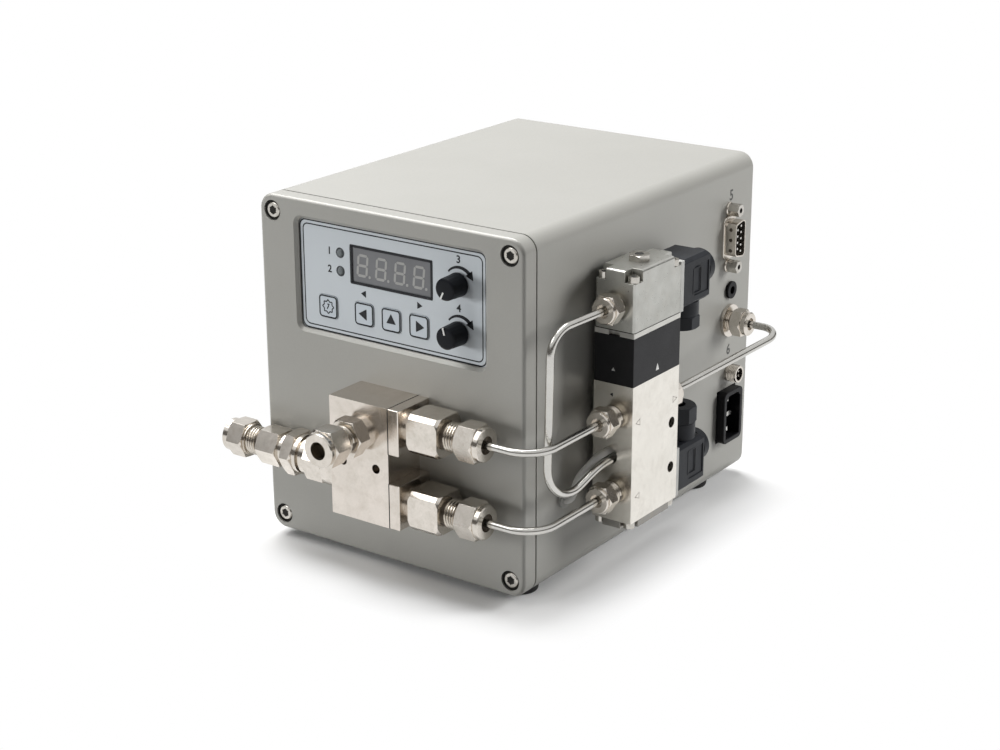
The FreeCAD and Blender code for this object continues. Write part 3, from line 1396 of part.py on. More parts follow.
for index, high in enumerate(jackscrew_spots):
    spot = (side + s.dsub_flange, dsub_back, high)
    jackscrews.append(fitting(f"jackscrew_{index}", spot, "x",
                              [("hex", s.jackscrew_flats, s.jackscrew_length, 0)],
                              s.dsub_flange + s.housing_wall + s.jackscrew_inside,
                              s.jackscrew_radius,
                              [(s.jackscrew_bore, s.jackscrew_length - 4, 5)]))
node("dsub_jackscrews", group("jackscrew_set", jackscrews))

# Round service jack
jack_spot = (side, jack_back, s.jack_high)
node("service_jack", fitting("jack", jack_spot, "x",
                             [("round", s.jack_flange_radius, s.jack_flange, 0)],
                             s.jack_inside, s.jack_thread_radius,
                             [(s.jack_bore, -s.jack_inside + 2, s.jack_inside + s.jack_flange)]))

# Bulkhead union that brings the rear tube out of the housing
bulk_spot = (side, bulkhead_back, s.bulkhead_high)
bulk_reach = s.bulkhead_neck + s.bulkhead_hex + s.bulkhead_washer
washer_rod = rod("bulkhead_washer_rod", s.bulkhead_washer_radius, s.bulkhead_washer, bulk_spot, "x")
washer_hole = rod("bulkhead_washer_hole", s.bulkhead_thread_radius + s.fit_gap,
                  s.bulkhead_washer + 2, step(bulk_spot, "x", -1), "x")
bulkhead_washer = cut("bulkhead_washer", washer_rod, [washer_hole])
node("bulkhead_body", fitting("bulkhead", bulk_spot, "x",
                              [("round", s.bulkhead_thread_radius, bulk_reach, 0)],
                              s.bulkhead_inside, s.bulkhead_thread_radius,
                              [(s.tube_radius + s.running_gap, -s.bulkhead_inside - 1,
                                bulk_reach + s.bulkhead_inside + 2)]))
node("bulkhead_nut", tube_nut("bulkhead_cap", step(bulk_spot, "x", s.bulkhead_washer + s.bulkhead_neck),
                              "x", s.bulkhead_thread_radius + s.fit_gap,
                              [("hex", s.bulkhead_flats, s.bulkhead_hex, 0),
                               ("round", s.bulkhead_collar_radius, s.bulkhead_collar, 0)],
                              s.tube_radius + s.running_gap, s.bulkhead_hex + 0.3,
                              (s.small_recess_radius, s.bulkhead_collar - 0.9)))

# Round threaded signal socket
signal_spot = (side, signal_back, s.signal_high)
node("signal_socket", fitting("signal_shell", signal_spot, "x",
                              [("round", s.signal_radius, s.signal_proud, 0)],
                              s.signal_inside, s.signal_radius,
                              [(s.signal_bore, -s.signal_inside - 1,
                                s.signal_inside + s.signal_proud + 2)]))
core = rod("signal_core", s.signal_bore - s.running_gap, s.signal_inside + 1,
           step(signal_spot, "-x", s.signal_inside), "x")
signal_pins = []
signal_bores = []
for index in range(4):
    angle = math.radians(45 + 90 * index)
    spot = (side - s.signal_inside, signal_back + s.signal_pin_circle * math.cos(angle),
            s.signal_high + s.signal_pin_circle * math.sin(angle))
    length = s.signal_inside + s.signal_proud - 1
    signal_pins.append(rod(f"signal_pin_{index}", s.signal_pin_radius, length, spot, "x"))
    signal_bores.append(rod(f"signal_way_{index}", s.signal_pin_radius + s.running_gap, length,
                            step(spot, "-x", 1), "x"))
signal_core = cut("signal_core_open", core, signal_bores)
node("socket_inserts", group("insert_set", [dsub_core, signal_core]))

# Nuts behind the side wall
inner_wall = side - s.housing_wall
lock_nuts = []
for name, back, high, radius in (("bulkhead", bulkhead_back, s.bulkhead_high,
                                  s.bulkhead_thread_radius),
                                 ("signal", signal_back, s.signal_high, s.signal_radius),
                                 ("jack", jack_back, s.jack_high, s.jack_thread_radius)):
    blank = hexagon(f"lock_{name}", s.lock_nut_flats, s.lock_nut_height, (inner_wall, back, high), "-x")
    hole = rod(f"lock_{name}_hole", radius + s.running_gap, s.lock_nut_height + 2,
               (inner_wall + 1, back, high), "-x")
    lock_nuts.append(cut(f"lock_nut_{name}", blank, [hole]))
for index, (back, high) in enumerate(mount_screw_spots):
    blank = hexagon(f"lock_mount_{index}", s.mount_screw_radius * 3.6, s.lock_nut_height,
                    (inner_wall, back, high), "-x")
    hole = rod(f"lock_mount_hole_{index}", s.mount_screw_radius + s.running_gap,
               s.lock_nut_height + 2, (inner_wall + 1, back, high), "-x")
    lock_nuts.append(cut(f"lock_nut_mount_{index}", blank, [hole]))
node("washer_and_lock_nuts", group("lock_nut_set", [bulkhead_washer] + lock_nuts))


def inlet_outline(wide, tall, corner):
    """The power inlet's outline: two corners cut off at the top."""
    return [(-wide / 2, -(tall / 2)), (wide / 2, -(tall / 2)), (wide / 2, tall / 2 - corner),
            (wide / 2 - corner, tall / 2), (-wide / 2 + corner, tall / 2),
            (-wide / 2, tall / 2 - corner)]


# Power inlet with its three blades
inlet_spot = (side, inlet_back, s.inlet_mid_high)
inlet_case = milled("inlet_case", "YZ_Plane",
                    [(-s.inlet_width / 2, -s.inlet_height / 2), (s.inlet_width / 2, -s.inlet_height / 2),
                     (s.inlet_width / 2, s.inlet_height / 2), (-s.inlet_width / 2, s.inlet_height / 2)],
                    s.inlet_proud + s.inlet_inside, step(inlet_spot, "-x", s.inlet_inside))
inlet_case = soften("inlet_case_soft", inlet_case, s.inlet_round, ("x",), "Part::Fillet")
inlet_hollow = milled("inlet_hollow", "YZ_Plane",
                      inlet_outline(s.inlet_width - s.inlet_wall * 2,
                                    s.inlet_height - s.inlet_wall * 2, s.inlet_corner / 2),
                      s.inlet_cavity + 1, step(inlet_spot, "x", s.inlet_proud - s.inlet_cavity))
blades = []
blade_ways = []
for index in (-1, 0, 1):
    middle = (side - s.inlet_inside / 2, inlet_back + (1.5 if index == 0 else -1.5),
              s.inlet_mid_high + index * s.blade_spacing)
    blades.append(middle_box(f"blade_{index + 1}", middle,
                             (s.inlet_inside + 2, s.blade_height, s.blade_width)))
    blade_ways.append(middle_box(f"blade_way_{index + 1}", middle,
                                 (s.inlet_inside + 4, s.blade_height + 0.1, s.blade_width + 0.1)))
node("power_inlet", cut("inlet_open", inlet_case, [inlet_hollow] + blade_ways))
node("contact_pins", group("contact_set", pins + signal_pins + blades))

# Cable grommet of the side wall
grommet_spot = (side, grommet_back, s.grommet_high)
grommet = fitting("grommet", grommet_spot, "x",
                  [("round", s.grommet_flange_radius, s.grommet_flange, 0)],
                  s.housing_wall, s.grommet_neck_radius,
                  [(s.cable_radius + s.running_gap, -s.housing_wall - 1, 10)])

# Tubes and the valve's cable
tube_end = plate_side + s.neck_boss_length + s.square_length + neck_length - s.tube_seat + 0.2
outlet_tubes = []
for name, (high, gap) in front_ports.items():
    finish = valve_front - gap - s.small_thread_reach + s.small_tube_seat - 0.2
    outlet_tubes.append(bent_tube(f"tube_{name}",
                                  [(tube_end, port_back, high), (valve_across, port_back, high),
                                   (valve_across, finish, high)],
                                  [s.tube_bend], s.tube_radius, s.tube_bore))
node("outlet_tubes", group("outlet_tube_set", outlet_tubes))
cap_finish = valve_front - s.cap_thread_gap - s.small_thread_reach + s.small_tube_seat - 0.2
hole_across = valve_across + s.cable_hole_across
tube_way = (hole_across + s.hole_tube_across, s.cable_hole_high - s.hole_tube_drop)
cable_way = (hole_across - s.hole_cable_across, s.cable_hole_high + s.hole_cable_rise)
node("tube_cap", bent_tube("tube_cap_pipe",
                           [(valve_across, cap_finish, s.cap_port_high),
                            (valve_across - 0.1, valve_front - 13, s.cap_port_high),
                            (side + s.loop_stand, front + s.loop_setback_high, s.loop_top),
                            (side + s.loop_stand, front + s.loop_setback, s.loop_bottom),
                            (tube_way[0], valve_front - 9, tube_way[1]),
                            (tube_way[0], valve_front + s.hole_reach, tube_way[1])],
                           [30, 11, 13.7, 30], s.tube_radius, s.tube_bore))
node("valve_cable", bent_tube("valve_cable_cord",
                              [(cable_way[0], valve_front + s.hole_reach, cable_way[1]),
                               (cable_way[0], valve_front - 7, cable_way[1]),
                               (side + s.cable_bend_stand, valve_front - s.cable_bend_ahead, s.cable_bend_high),
                               (side + s.cable_stand, grommet_back, s.grommet_high),
                               (side - 8, grommet_back, s.grommet_high)],
                              [6, 9, 3.2], s.cable_radius))
node("tube_rear", bent_tube("tube_rear_pipe",
                            [(side - s.bulkhead_inside + 1, bulkhead_back, s.bulkhead_high),
                             (side + s.rear_tube_reach, bulkhead_back, s.bulkhead_high),
                             (valve_across, valve_rear + 20.3, s.rear_port_high),
                             (valve_across, valve_rear + s.small_thread_gap + 0.2,
                              s.rear_port_high)],
                            [8, 20], s.tube_radius, s.tube_bore))
seal_start = (hole_across, valve_front + s.hole_seal_sink, s.cable_hole_high)
seal_rod = rod("hole_seal_rod", s.cable_hole_radius - s.running_gap, s.hole_seal_thickness,
               seal_start, "y")
seal_ways = [rod("hole_seal_tube", s.tube_radius + s.running_gap, s.hole_seal_sink + s.hole_reach,
                 (tube_way[0], valve_front, tube_way[1]), "y"),
             rod("hole_seal_cable", s.cable_radius + s.running_gap, s.hole_seal_sink + s.hole_reach,
                 (cable_way[0], valve_front, cable_way[1]), "y")]
hole_seal = cut("hole_seal", seal_rod, seal_ways)
node("valve_seals", group("seal_set", plug_seals + [hole_seal, grommet]))

# Boards inside the housing
board_floor = s.housing_wall + s.board_lift
main_board = box("main_board", (board_left, board_front_end, board_floor),
                 (board_right - board_left, board_rear_end - board_front_end, s.board_thickness))
standoffs += [rod(f"board_spacer_{index}", s.standoff_radius, s.board_lift,
                  (across, back, s.housing_wall))
              for index, (across, back) in enumerate(board_post_spots)]
node("circuit_boards", group("board_set", [keypad, main_board]))
node("board_standoffs", group("standoff_set", standoffs))
node("power_supply", box("supply", (board_left + 5, board_rear_end - s.supply_depth - 5,
                                    board_floor + s.board_thickness),
                         (s.supply_width, s.supply_depth, s.supply_height)))

# Feet and their screws
feet = []
foot_screws = []
for index, (across, back) in enumerate(foot_spots):
    blank = turned(f"foot_blank_{index}",
                   [(0, 0), (0, s.foot_radius), (s.foot_height - 0.5, s.foot_radius - s.foot_taper),
                    (s.foot_height, s.foot_radius - s.foot_taper - 0.5), (s.foot_height, 0)],
                   (across, back, 0), "-z")
    recess = rod(f"foot_recess_{index}", s.foot_recess_radius, s.foot_recess + 1,
                 (across, back, -s.foot_height - 1))
    hole = rod(f"foot_screw_way_{index}", s.foot_screw_radius + s.fit_gap, s.foot_height + 2,
               (across, back, -s.foot_height - 1))
    feet.append(cut(f"foot_{index}", blank, [recess, hole]))
    head = rod(f"foot_screw_head_{index}", s.foot_screw_head, s.foot_recess - 0.5,
               (across, back, -s.foot_height + 0.5))
    shank = rod(f"foot_screw_shank_{index}", s.foot_screw_radius, s.foot_screw_length,
                (across, back, -s.foot_height + s.foot_recess))
    foot_screws.append(fuse(f"foot_screw_{index}", [head, shank]))
node("feet", group("foot_set", feet))
node("mounting_screws", group("mounting_screw_set", manifold_screws + mount_screws + foot_screws))


def case_screws(tag, back, along, sink):
    """Four screws with a six-cornered socket, heads sunk below or resting on a face."""
    made = []
    other = "-y" if along == "y" else "y"
    for index, (across, height) in enumerate(screw_spots):
        seat = step((across, back, height), along, sink)
        head = turned(f"{tag}_head_{index}",
                      [(0, 0), (0, s.screw_head_radius),
                       (s.screw_head_height - 0.6, s.screw_head_radius),
                       (s.screw_head_height, s.screw_head_radius - 0.6),
                       (s.screw_head_height, 0)], seat, other)
        shank = rod(f"{tag}_shank_{index}", s.screw_shank_radius, s.screw_length, seat, along)
        socket = hexagon(f"{tag}_socket_{index}", s.socket_radius * 2, s.socket_depth + 1,
                         step(seat, other, s.screw_head_height - s.socket_depth), other)
        made.append(cut(f"{tag}_screw_{index}", fuse(f"{tag}_blank_{index}", [head, shank]), [socket]))
    return made


front_set = case_screws("front", front, "y", s.screw_head_height + s.head_sink)
node("case_screws", group("case_screw_set", front_set + case_screws("rear", half_depth, "-y", 0)))

doc.recompute()

# Every object is sound and every piece is a valid solid before anything is written
broken = [item.Label for item in doc.Objects if "Invalid" in item.State or "Error" in item.State]
if broken:
    raise RuntimeError(f"broken objects: {broken}")
for name, feature in nodes.items():
    if feature.Shape.isNull() or not feature.Shape.isValid() or not feature.Shape.Solids:
        raise RuntimeError(f"bad shape: {name}")

os.makedirs("parts", exist_ok=True)
for name, feature in nodes.items():
    feature.Shape.exportStep(f"parts/{name}.step")
print(f"wrote {len(nodes)} pieces")
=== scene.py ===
"""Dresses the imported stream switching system: finishes, printed panel, threads, lights and camera.

Lengths are in millimetres of the housing: x across from its middle, y back from the middle of its
depth and z up from its lower face. A piece is moved into the frame, in metres, when it is finished.
"""

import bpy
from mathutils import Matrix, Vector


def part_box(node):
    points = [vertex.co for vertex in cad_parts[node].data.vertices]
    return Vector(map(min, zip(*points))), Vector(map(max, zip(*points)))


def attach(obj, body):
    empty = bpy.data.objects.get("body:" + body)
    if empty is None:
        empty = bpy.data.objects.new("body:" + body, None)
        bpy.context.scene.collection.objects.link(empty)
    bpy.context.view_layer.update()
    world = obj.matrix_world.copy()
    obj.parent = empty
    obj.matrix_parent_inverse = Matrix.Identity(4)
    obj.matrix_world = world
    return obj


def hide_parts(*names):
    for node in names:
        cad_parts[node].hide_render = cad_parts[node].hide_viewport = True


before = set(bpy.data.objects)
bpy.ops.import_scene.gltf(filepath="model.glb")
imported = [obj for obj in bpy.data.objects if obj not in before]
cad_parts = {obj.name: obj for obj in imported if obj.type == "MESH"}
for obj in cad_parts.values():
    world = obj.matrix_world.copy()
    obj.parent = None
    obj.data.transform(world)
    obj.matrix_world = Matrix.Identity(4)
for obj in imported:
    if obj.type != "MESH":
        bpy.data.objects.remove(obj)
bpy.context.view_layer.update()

import logging
import math
from dataclasses import dataclass, field
from enum import Enum

import bmesh
import bpy
from mathutils import Matrix, Vector

log = logging.getLogger("stream_switching_system")

MM = 0.001
PLATE_FRONT = -86.4
POCKET_FLOOR = PLATE_FRONT + 2.6
OVERLAY_FRONT = POCKET_FLOOR - 0.6
SIDE_FACE = 64.9

Colour = tuple[float, float, float]
Spot = tuple[float, float, float]


def housing_origin() -> Vector:
    """Finds where the housing's own zero stands in the frame.

    Returns:
        The point in metres, from the box of the front plate.
    """
    low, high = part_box("front_plate")
    return Vector(((low.x + high.x) / 2, low.y - PLATE_FRONT * MM, low.z))


ORIGIN = housing_origin()


def into_frame(point: Spot) -> Vector:
    """Turns a point of the housing, in millimetres, into one of the frame, in metres."""
    return ORIGIN + Vector(point) * MM


class Lines(Enum):
    """Which way a tool, a brush or a mould left its fine lines."""

    NONE = (1.0, 1.0, 1.0)
    ALONG_X = (0.05, 1.0, 1.0)
    ALONG_Y = (1.0, 0.05, 1.0)
    ALONG_Z = (1.0, 1.0, 0.05)


class Facing(Enum):
    """Which way a flat mark looks, as the turn that takes it there from lying on its back."""

    FRONT = Matrix.Rotation(math.radians(90), 4, "X")
    RIGHT = Matrix.Rotation(math.radians(90), 4, "Z") @ Matrix.Rotation(math.radians(90), 4, "X")
    UP = Matrix.Identity(4)


class Axis(Enum):
    """A main direction of the frame."""

    X = Vector((1, 0, 0))
    Y = Vector((0, 1, 0))
    Z = Vector((0, 0, 1))
    LEFT = Vector((-1, 0, 0))
    FORWARD = Vector((0, -1, 0))

    def turn(self) -> Matrix:
        """Gives the turn that takes the z axis to this direction."""
        return Vector((0, 0, 1)).rotation_difference(self.value).to_matrix().to_4x4()


class NodeBoard:
    """The node tree of one material, with short calls for what the finishes share."""

    def __init__(self, name: str) -> None:
        """Starts an empty tree.

        Args:
            name: The material's name.
        """
        self.material = bpy.data.materials.new(name)
        self.material.use_nodes = True
        self.tree = self.material.node_tree
        self.tree.nodes.clear()
        self.place = self.add("ShaderNodeTexCoord").outputs["Object"]

    def add(self, kind: str, feeds: dict | None = None, **settings: object) -> bpy.types.Node:
        """Adds a node.

        Args:
            kind: The node's type.
            feeds: Values or sockets for its inputs, by name or by number.
            settings: Values for the node's own fields.

        Returns:
            The node.
        """
        made = self.tree.nodes.new(kind)
        for name, value in settings.items():
            setattr(made, name, value)
        for socket, value in (feeds or {}).items():
            if isinstance(value, bpy.types.NodeSocket):
                self.tree.links.new(value, made.inputs[socket])
            else:
                made.inputs[socket].default_value = value
        return made

    def stretched(self, lines: Lines) -> bpy.types.NodeSocket:
        """Gives the place on the object, drawn out along the fine lines."""
        if lines is Lines.NONE:
            return self.place
        return self.add("ShaderNodeMapping", {"Vector": self.place, "Scale": lines.value}).outputs[0]

    def noise(self, size: float, detail: float = 2.0, rough: float = 0.5,
              lines: Lines = Lines.NONE) -> bpy.types.NodeSocket:
        """Adds a noise.

        Args:
            size: Millimetres across one cloud.
            detail: How many finer layers it has.
            rough: How strong the finer layers are.
            lines: The way in which it is drawn out.

        Returns:
            Its value, from 0 to 1.
        """
        feeds = {"Vector": self.stretched(lines), "Scale": 1.0 / (size * MM), "Detail": detail,
                 "Roughness": rough}
        return self.add("ShaderNodeTexNoise", feeds).outputs[0]

    def spread(self, value: bpy.types.NodeSocket, low: float, high: float,
               from_low: float = 0.3, from_high: float = 0.7) -> bpy.types.NodeSocket:
        """Maps the middle of a noise onto a range, held at both ends."""
        feeds = {0: value, 1: from_low, 2: from_high, 3: low, 4: high}
        return self.add("ShaderNodeMapRange", feeds).outputs[0]

    def mix(self, share: object, first: object, second: object) -> bpy.types.NodeSocket:
        """Mixes two colours.

        Args:
            share: How much of the second colour shows, a number or a socket.
            first: The first colour, or its socket.
            second: The second colour, or its socket.

        Returns:
            The mixed colour.
        """
        feeds = {0: share, 6: solid(first), 7: solid(second)}
        return self.add("ShaderNodeMix", feeds, data_type="RGBA").outputs[2]

    def bump(self, height: bpy.types.NodeSocket, depth: float,
             below: bpy.types.NodeSocket | None = None) -> bpy.types.NodeSocket:
        """Turns a height into a normal.

        Args:
            height: The height, from 0 to 1.
            depth: Millimetres that it stands for.
            below: A normal that it is laid over.

        Returns:
            The normal.
        """
        feeds = {"Height": height, "Distance": depth * MM, "Strength": 1.0}
        if below is not None:
            feeds["Normal"] = below
        return self.add("ShaderNodeBump", feeds).outputs[0]

    def close(self, surface: bpy.types.NodeSocket) -> bpy.types.Material:
        """Links the surface to the output and gives the material."""
        self.add("ShaderNodeOutputMaterial", {"Surface": surface})
        return self.material


def solid(colour: object) -> object:
    """Gives a plain colour its fourth value, and leaves a socket as it is."""
    return (*colour, 1.0) if isinstance(colour, tuple) and len(colour) == 3 else colour


@dataclass(frozen=True)
class Finish:
    """The skin of a piece: two near tones in soft clouds, a fine grain, and both in its roughness."""

    name: str
    tone: Colour
    shade: Colour
    metallic: float = 0.0
    roughness: float = 0.4
    wander: float = 0.06
    cloud: float = 14.0
    grain: float = 0.35
    relief: float = 0.004
    swell: float = 0.0
    lines: Lines = Lines.NONE
    coat: float = 0.0
    specular: float = 0.5
    share: float = 1.0
    fine: float = 0.5

    def colour(self, board: NodeBoard) -> bpy.types.NodeSocket:
        """Mixes the two tones by the clouds and, weaker, by the grain."""
        clouds = board.spread(board.noise(self.cloud, 4.0, 0.6), 0.0, self.share)
        fine = board.spread(board.noise(self.grain, 2.0, 0.5, self.lines), 0.0, self.fine)
        mixed = board.mix(clouds, self.tone, self.shade)
        return board.mix(fine, mixed, board.mix(0.5, mixed, self.shade))

    def rough(self, board: NodeBoard) -> bpy.types.NodeSocket:
        """Lets the roughness wander with the grain and the clouds."""
        fine = board.noise(self.grain * 1.7, 3.0, 0.6, self.lines)
        return board.spread(fine, self.roughness - self.wander, self.roughness + self.wander)

    def normal(self, board: NodeBoard) -> bpy.types.NodeSocket:
        """Raises the grain, over a broad swell where there is one."""
        below = None
        if self.swell > 0.0:
            below = board.bump(board.noise(self.cloud * 0.35, 1.0), self.swell)
        return board.bump(board.noise(self.grain, 2.0, 0.5, self.lines), self.relief, below)

    def shader(self, board: NodeBoard) -> bpy.types.NodeSocket:
        """Feeds the surface shader."""
        feeds = {"Base Color": self.colour(board), "Roughness": self.rough(board),
                 "Metallic": self.metallic, "Normal": self.normal(board),
                 "Coat Weight": self.coat, "Coat Roughness": 0.18,
                 "Specular IOR Level": self.specular}
        return board.add("ShaderNodeBsdfPrincipled", feeds).outputs[0]

    def material(self) -> bpy.types.Material:
        """Gives the material, made the first time that it is asked for."""
        known = bpy.data.materials.get(self.name)
        if known is not None:
            return known
        board = NodeBoard(self.name)
        return board.close(self.shader(board))


@dataclass(frozen=True)
class FlakePaint(Finish):
    """Satin paint with fine metal flakes, each a little lighter or darker than its neighbour."""

    flake: float = 0.22
    sparkle: float = 0.35

    def colour(self, board: NodeBoard) -> bpy.types.NodeSocket:
        """Lays the flakes over the clouds of the paint."""
        feeds = {"Vector": board.place, "Scale": 1.0 / (self.flake * MM)}
        cells = board.add("ShaderNodeTexVoronoi", feeds, feature="F1")
        lone = board.add("ShaderNodeSeparateColor", {0: cells.outputs["Color"]}).outputs[0]
        bright = board.spread(lone, 0.0, self.sparkle, 0.0, 1.0)
        return board.mix(bright, super().colour(board), self.shade)


@dataclass(frozen=True)
class WornNickel(Finish):
    """Turned, milled or cast metal, with faint warm stains."""

    metallic: float = 1.0
    stain: Colour = (0.40, 0.34, 0.27)
    stained: float = 0.30

    def colour(self, board: NodeBoard) -> bpy.types.NodeSocket:
        """Stains the metal in soft patches."""
        patches = board.spread(board.noise(self.cloud * 0.45, 5.0, 0.65), 0.0, self.stained, 0.48, 0.78)
        return board.mix(patches, super().colour(board), self.stain)


@dataclass(frozen=True)
class Ink(Finish):
    """Printed ink, with the slight unevenness of a screen print."""

    def normal(self, board: NodeBoard) -> bpy.types.NodeSocket:
        """Gives the ink the grain of the screen."""
        return board.bump(board.noise(0.12, 1.0), 0.002)


CASE = FlakePaint("case_satin_paint", (0.335, 0.33, 0.305), (0.40, 0.395, 0.37), metallic=0.2,
                  roughness=0.42, wander=0.03, cloud=60.0, grain=0.5, relief=0.0035, swell=0.012,
                  share=0.35, flake=0.16, sparkle=0.22)
PLATE = FlakePaint("plate_satin_paint", (0.33, 0.325, 0.30), (0.40, 0.395, 0.37), metallic=0.2,
                   roughness=0.40, wander=0.03, cloud=50.0, grain=0.5, relief=0.0035, swell=0.01,
                   share=0.3, flake=0.16, sparkle=0.22)
NICKEL_Y = WornNickel("milled_nickel_y", (0.74, 0.69, 0.63), (0.62, 0.58, 0.52),
                      roughness=0.24, wander=0.02, grain=0.5, relief=0.0003, cloud=9.0,
                      lines=Lines.ALONG_Y, stained=0.25, fine=0.2)
NICKEL_X = WornNickel("turned_nickel_x", (0.76, 0.71, 0.65), (0.64, 0.60, 0.54),
                      roughness=0.19, wander=0.02, grain=0.6, relief=0.0002, cloud=6.0, stained=0.3,
                      fine=0.15)
BLOCK_STEEL = WornNickel("milled_block_steel", (0.76, 0.70, 0.64), (0.68, 0.63, 0.57),
                         roughness=0.24, wander=0.02, grain=0.8, relief=0.0003, cloud=13.0,
                         lines=Lines.ALONG_Z, stained=0.3, fine=0.15)
VALVE_STEEL = WornNickel("satin_valve_steel", (0.84, 0.81, 0.75), (0.76, 0.73, 0.67),
                         roughness=0.24, wander=0.02, grain=0.6, relief=0.0003, cloud=12.0,
                         lines=Lines.ALONG_Z, stained=0.2, fine=0.2)
CAST_STEEL = WornNickel("cast_cap_metal", (0.54, 0.54, 0.51), (0.42, 0.42, 0.39), metallic=0.9,
                        roughness=0.30, wander=0.03, grain=0.6, relief=0.0008, swell=0.006, cloud=9.0,
                        stained=0.15, fine=0.2)
TUBE_STEEL = WornNickel("drawn_tube_steel", (0.64, 0.63, 0.60), (0.56, 0.55, 0.52),
                        roughness=0.21, wander=0.015, grain=0.8, relief=0.0001, cloud=14.0,
                        stained=0.1, fine=0.15)
SCREW_STEEL = WornNickel("bright_screw_steel", (0.62, 0.60, 0.56), (0.48, 0.46, 0.42),
                         roughness=0.22, wander=0.02, grain=0.5, relief=0.0003, cloud=3.0,
                         stained=0.3, fine=0.2)
# Painted shade: a dark brown tone for the shade between thread ridges and in the connector's dimples.
RECESS_SHADE_STEEL = WornNickel("recess_painted_shade", (0.13, 0.11, 0.09), (0.07, 0.06, 0.05),
                        roughness=0.40, grain=0.4, relief=0.0006, cloud=3.0, stained=0.2, fine=0.3)
THREAD_STEEL = WornNickel("thread_steel", (0.70, 0.65, 0.58), (0.52, 0.48, 0.42),
                          roughness=0.20, wander=0.02, grain=0.5, relief=0.0002, cloud=4.0,
                          stained=0.4, fine=0.2)
# Painted shade: the sleeve's dark tone stands in for the shade inside the nuts' bores.
SLEEVE_SHADE_STEEL = WornNickel("shaded_sleeve_steel", (0.10, 0.09, 0.08), (0.05, 0.045, 0.04),
                        roughness=0.40, grain=0.4, relief=0.001, cloud=3.0)
ALUMINIUM = Finish("plain_aluminium", (0.62, 0.62, 0.61), (0.50, 0.50, 0.49), metallic=1.0,
                   roughness=0.38, grain=0.3, relief=0.003, cloud=10.0, lines=Lines.ALONG_Y)
BLACK_BLOCK = Finish("satin_black_block", (0.006, 0.006, 0.007), (0.014, 0.014, 0.016),
                     roughness=0.44, wander=0.06, cloud=9.0, grain=0.3, relief=0.004, swell=0.01,
                     specular=0.24)
PLUG = Finish("moulded_charcoal", (0.009, 0.010, 0.012), (0.018, 0.020, 0.024), roughness=0.46,
              wander=0.07, cloud=6.0, grain=0.16, relief=0.006, swell=0.012, specular=0.22)
SOCKET_BLACK = Finish("moulded_black", (0.003, 0.003, 0.004), (0.007, 0.007, 0.008), roughness=0.40,
                      cloud=5.0, grain=0.2, relief=0.005, specular=0.16)
KNOB = Finish("knob_black", (0.002, 0.003, 0.004), (0.005, 0.006, 0.009), roughness=0.40, wander=0.05,
              cloud=4.0, grain=0.14, relief=0.003, specular=0.18)
RUBBER = Finish("black_rubber", (0.011, 0.011, 0.011), (0.026, 0.025, 0.024), roughness=0.72,
                wander=0.08, cloud=5.0, grain=0.3, relief=0.02)
SEAL = Finish("sealing_rubber", (0.020, 0.020, 0.021), (0.038, 0.037, 0.036), roughness=0.6,
              cloud=4.0, grain=0.22, relief=0.01)
OVERLAY = Finish("printed_overlay", (0.53, 0.57, 0.60), (0.58, 0.62, 0.645), roughness=0.40,
                 wander=0.03, cloud=30.0, grain=0.2, relief=0.003, swell=0.004, coat=0.1, share=0.4)
KEY_FILM = Finish("key_film", (0.51, 0.56, 0.605), (0.56, 0.61, 0.65), roughness=0.36, wander=0.03,
                  cloud=8.0, grain=0.2, relief=0.003, coat=0.15, share=0.4)
# Print, and painted shade in the dark line along the overlay's rim.
INK_AND_RIM_SHADE = Ink("panel_ink_and_rim_shade", (0.008, 0.009, 0.011), (0.018, 0.019, 0.022), roughness=0.5, cloud=3.0,
                grain=0.15, specular=0.3)
LINE_INK = Ink("line_ink", (0.035, 0.038, 0.045), (0.060, 0.064, 0.072), roughness=0.45, cloud=5.0,
               grain=0.15)
SIDE_INK = Ink("side_ink", (0.045, 0.045, 0.043), (0.075, 0.075, 0.07), roughness=0.5, cloud=3.0,
               grain=0.15)
ETCH = Ink("etched_line", (0.30, 0.27, 0.23), (0.40, 0.37, 0.33), roughness=0.5, cloud=2.0, grain=0.15)
WHITE_INK = Ink("white_ink", (0.78, 0.78, 0.76), (0.66, 0.66, 0.64), roughness=0.5, cloud=2.0,
                grain=0.15)
WINDOW = Finish("display_window", (0.115, 0.119, 0.127), (0.140, 0.144, 0.152), roughness=0.32,
                wander=0.04, cloud=14.0, grain=0.25, relief=0.001, coat=0.5)
SEGMENT = Finish("unlit_segment", (0.30, 0.30, 0.29), (0.35, 0.35, 0.335), roughness=0.35, cloud=3.0,
                 grain=0.2, relief=0.001, coat=0.3)
LAMP = Finish("unlit_lamp", (0.130, 0.145, 0.152), (0.17, 0.185, 0.19), roughness=0.5, wander=0.05,
              cloud=2.0, grain=0.12, relief=0.002, specular=0.3)
BOARD = Finish("green_board", (0.012, 0.060, 0.030), (0.020, 0.085, 0.045), roughness=0.35, cloud=6.0,
               grain=0.3, relief=0.004, coat=0.2)
# Dark seams between the block and its side plates, and painted shade in screw sockets, round screw
# heads and in the gap under the valve's cap.
SEAM_AND_SHADE = Finish("seam_and_painted_shade", (0.010, 0.010, 0.009), (0.020, 0.019, 0.017), roughness=0.6, cloud=3.0,
              grain=0.3, relief=0.002, specular=0.2)
# Painted highlight: the seal's pale tone stands in for the bright line along its edge.
SEAL_HIGHLIGHT = Finish("seal_painted_highlight", (0.42, 0.42, 0.40), (0.50, 0.50, 0.48), roughness=0.5, cloud=3.0,
                   grain=0.25, relief=0.004)
PIN_STEEL = WornNickel("bright_pin_steel", (0.78, 0.77, 0.74), (0.66, 0.65, 0.62),
                       roughness=0.22, grain=0.3, relief=0.0003, cloud=1.5)
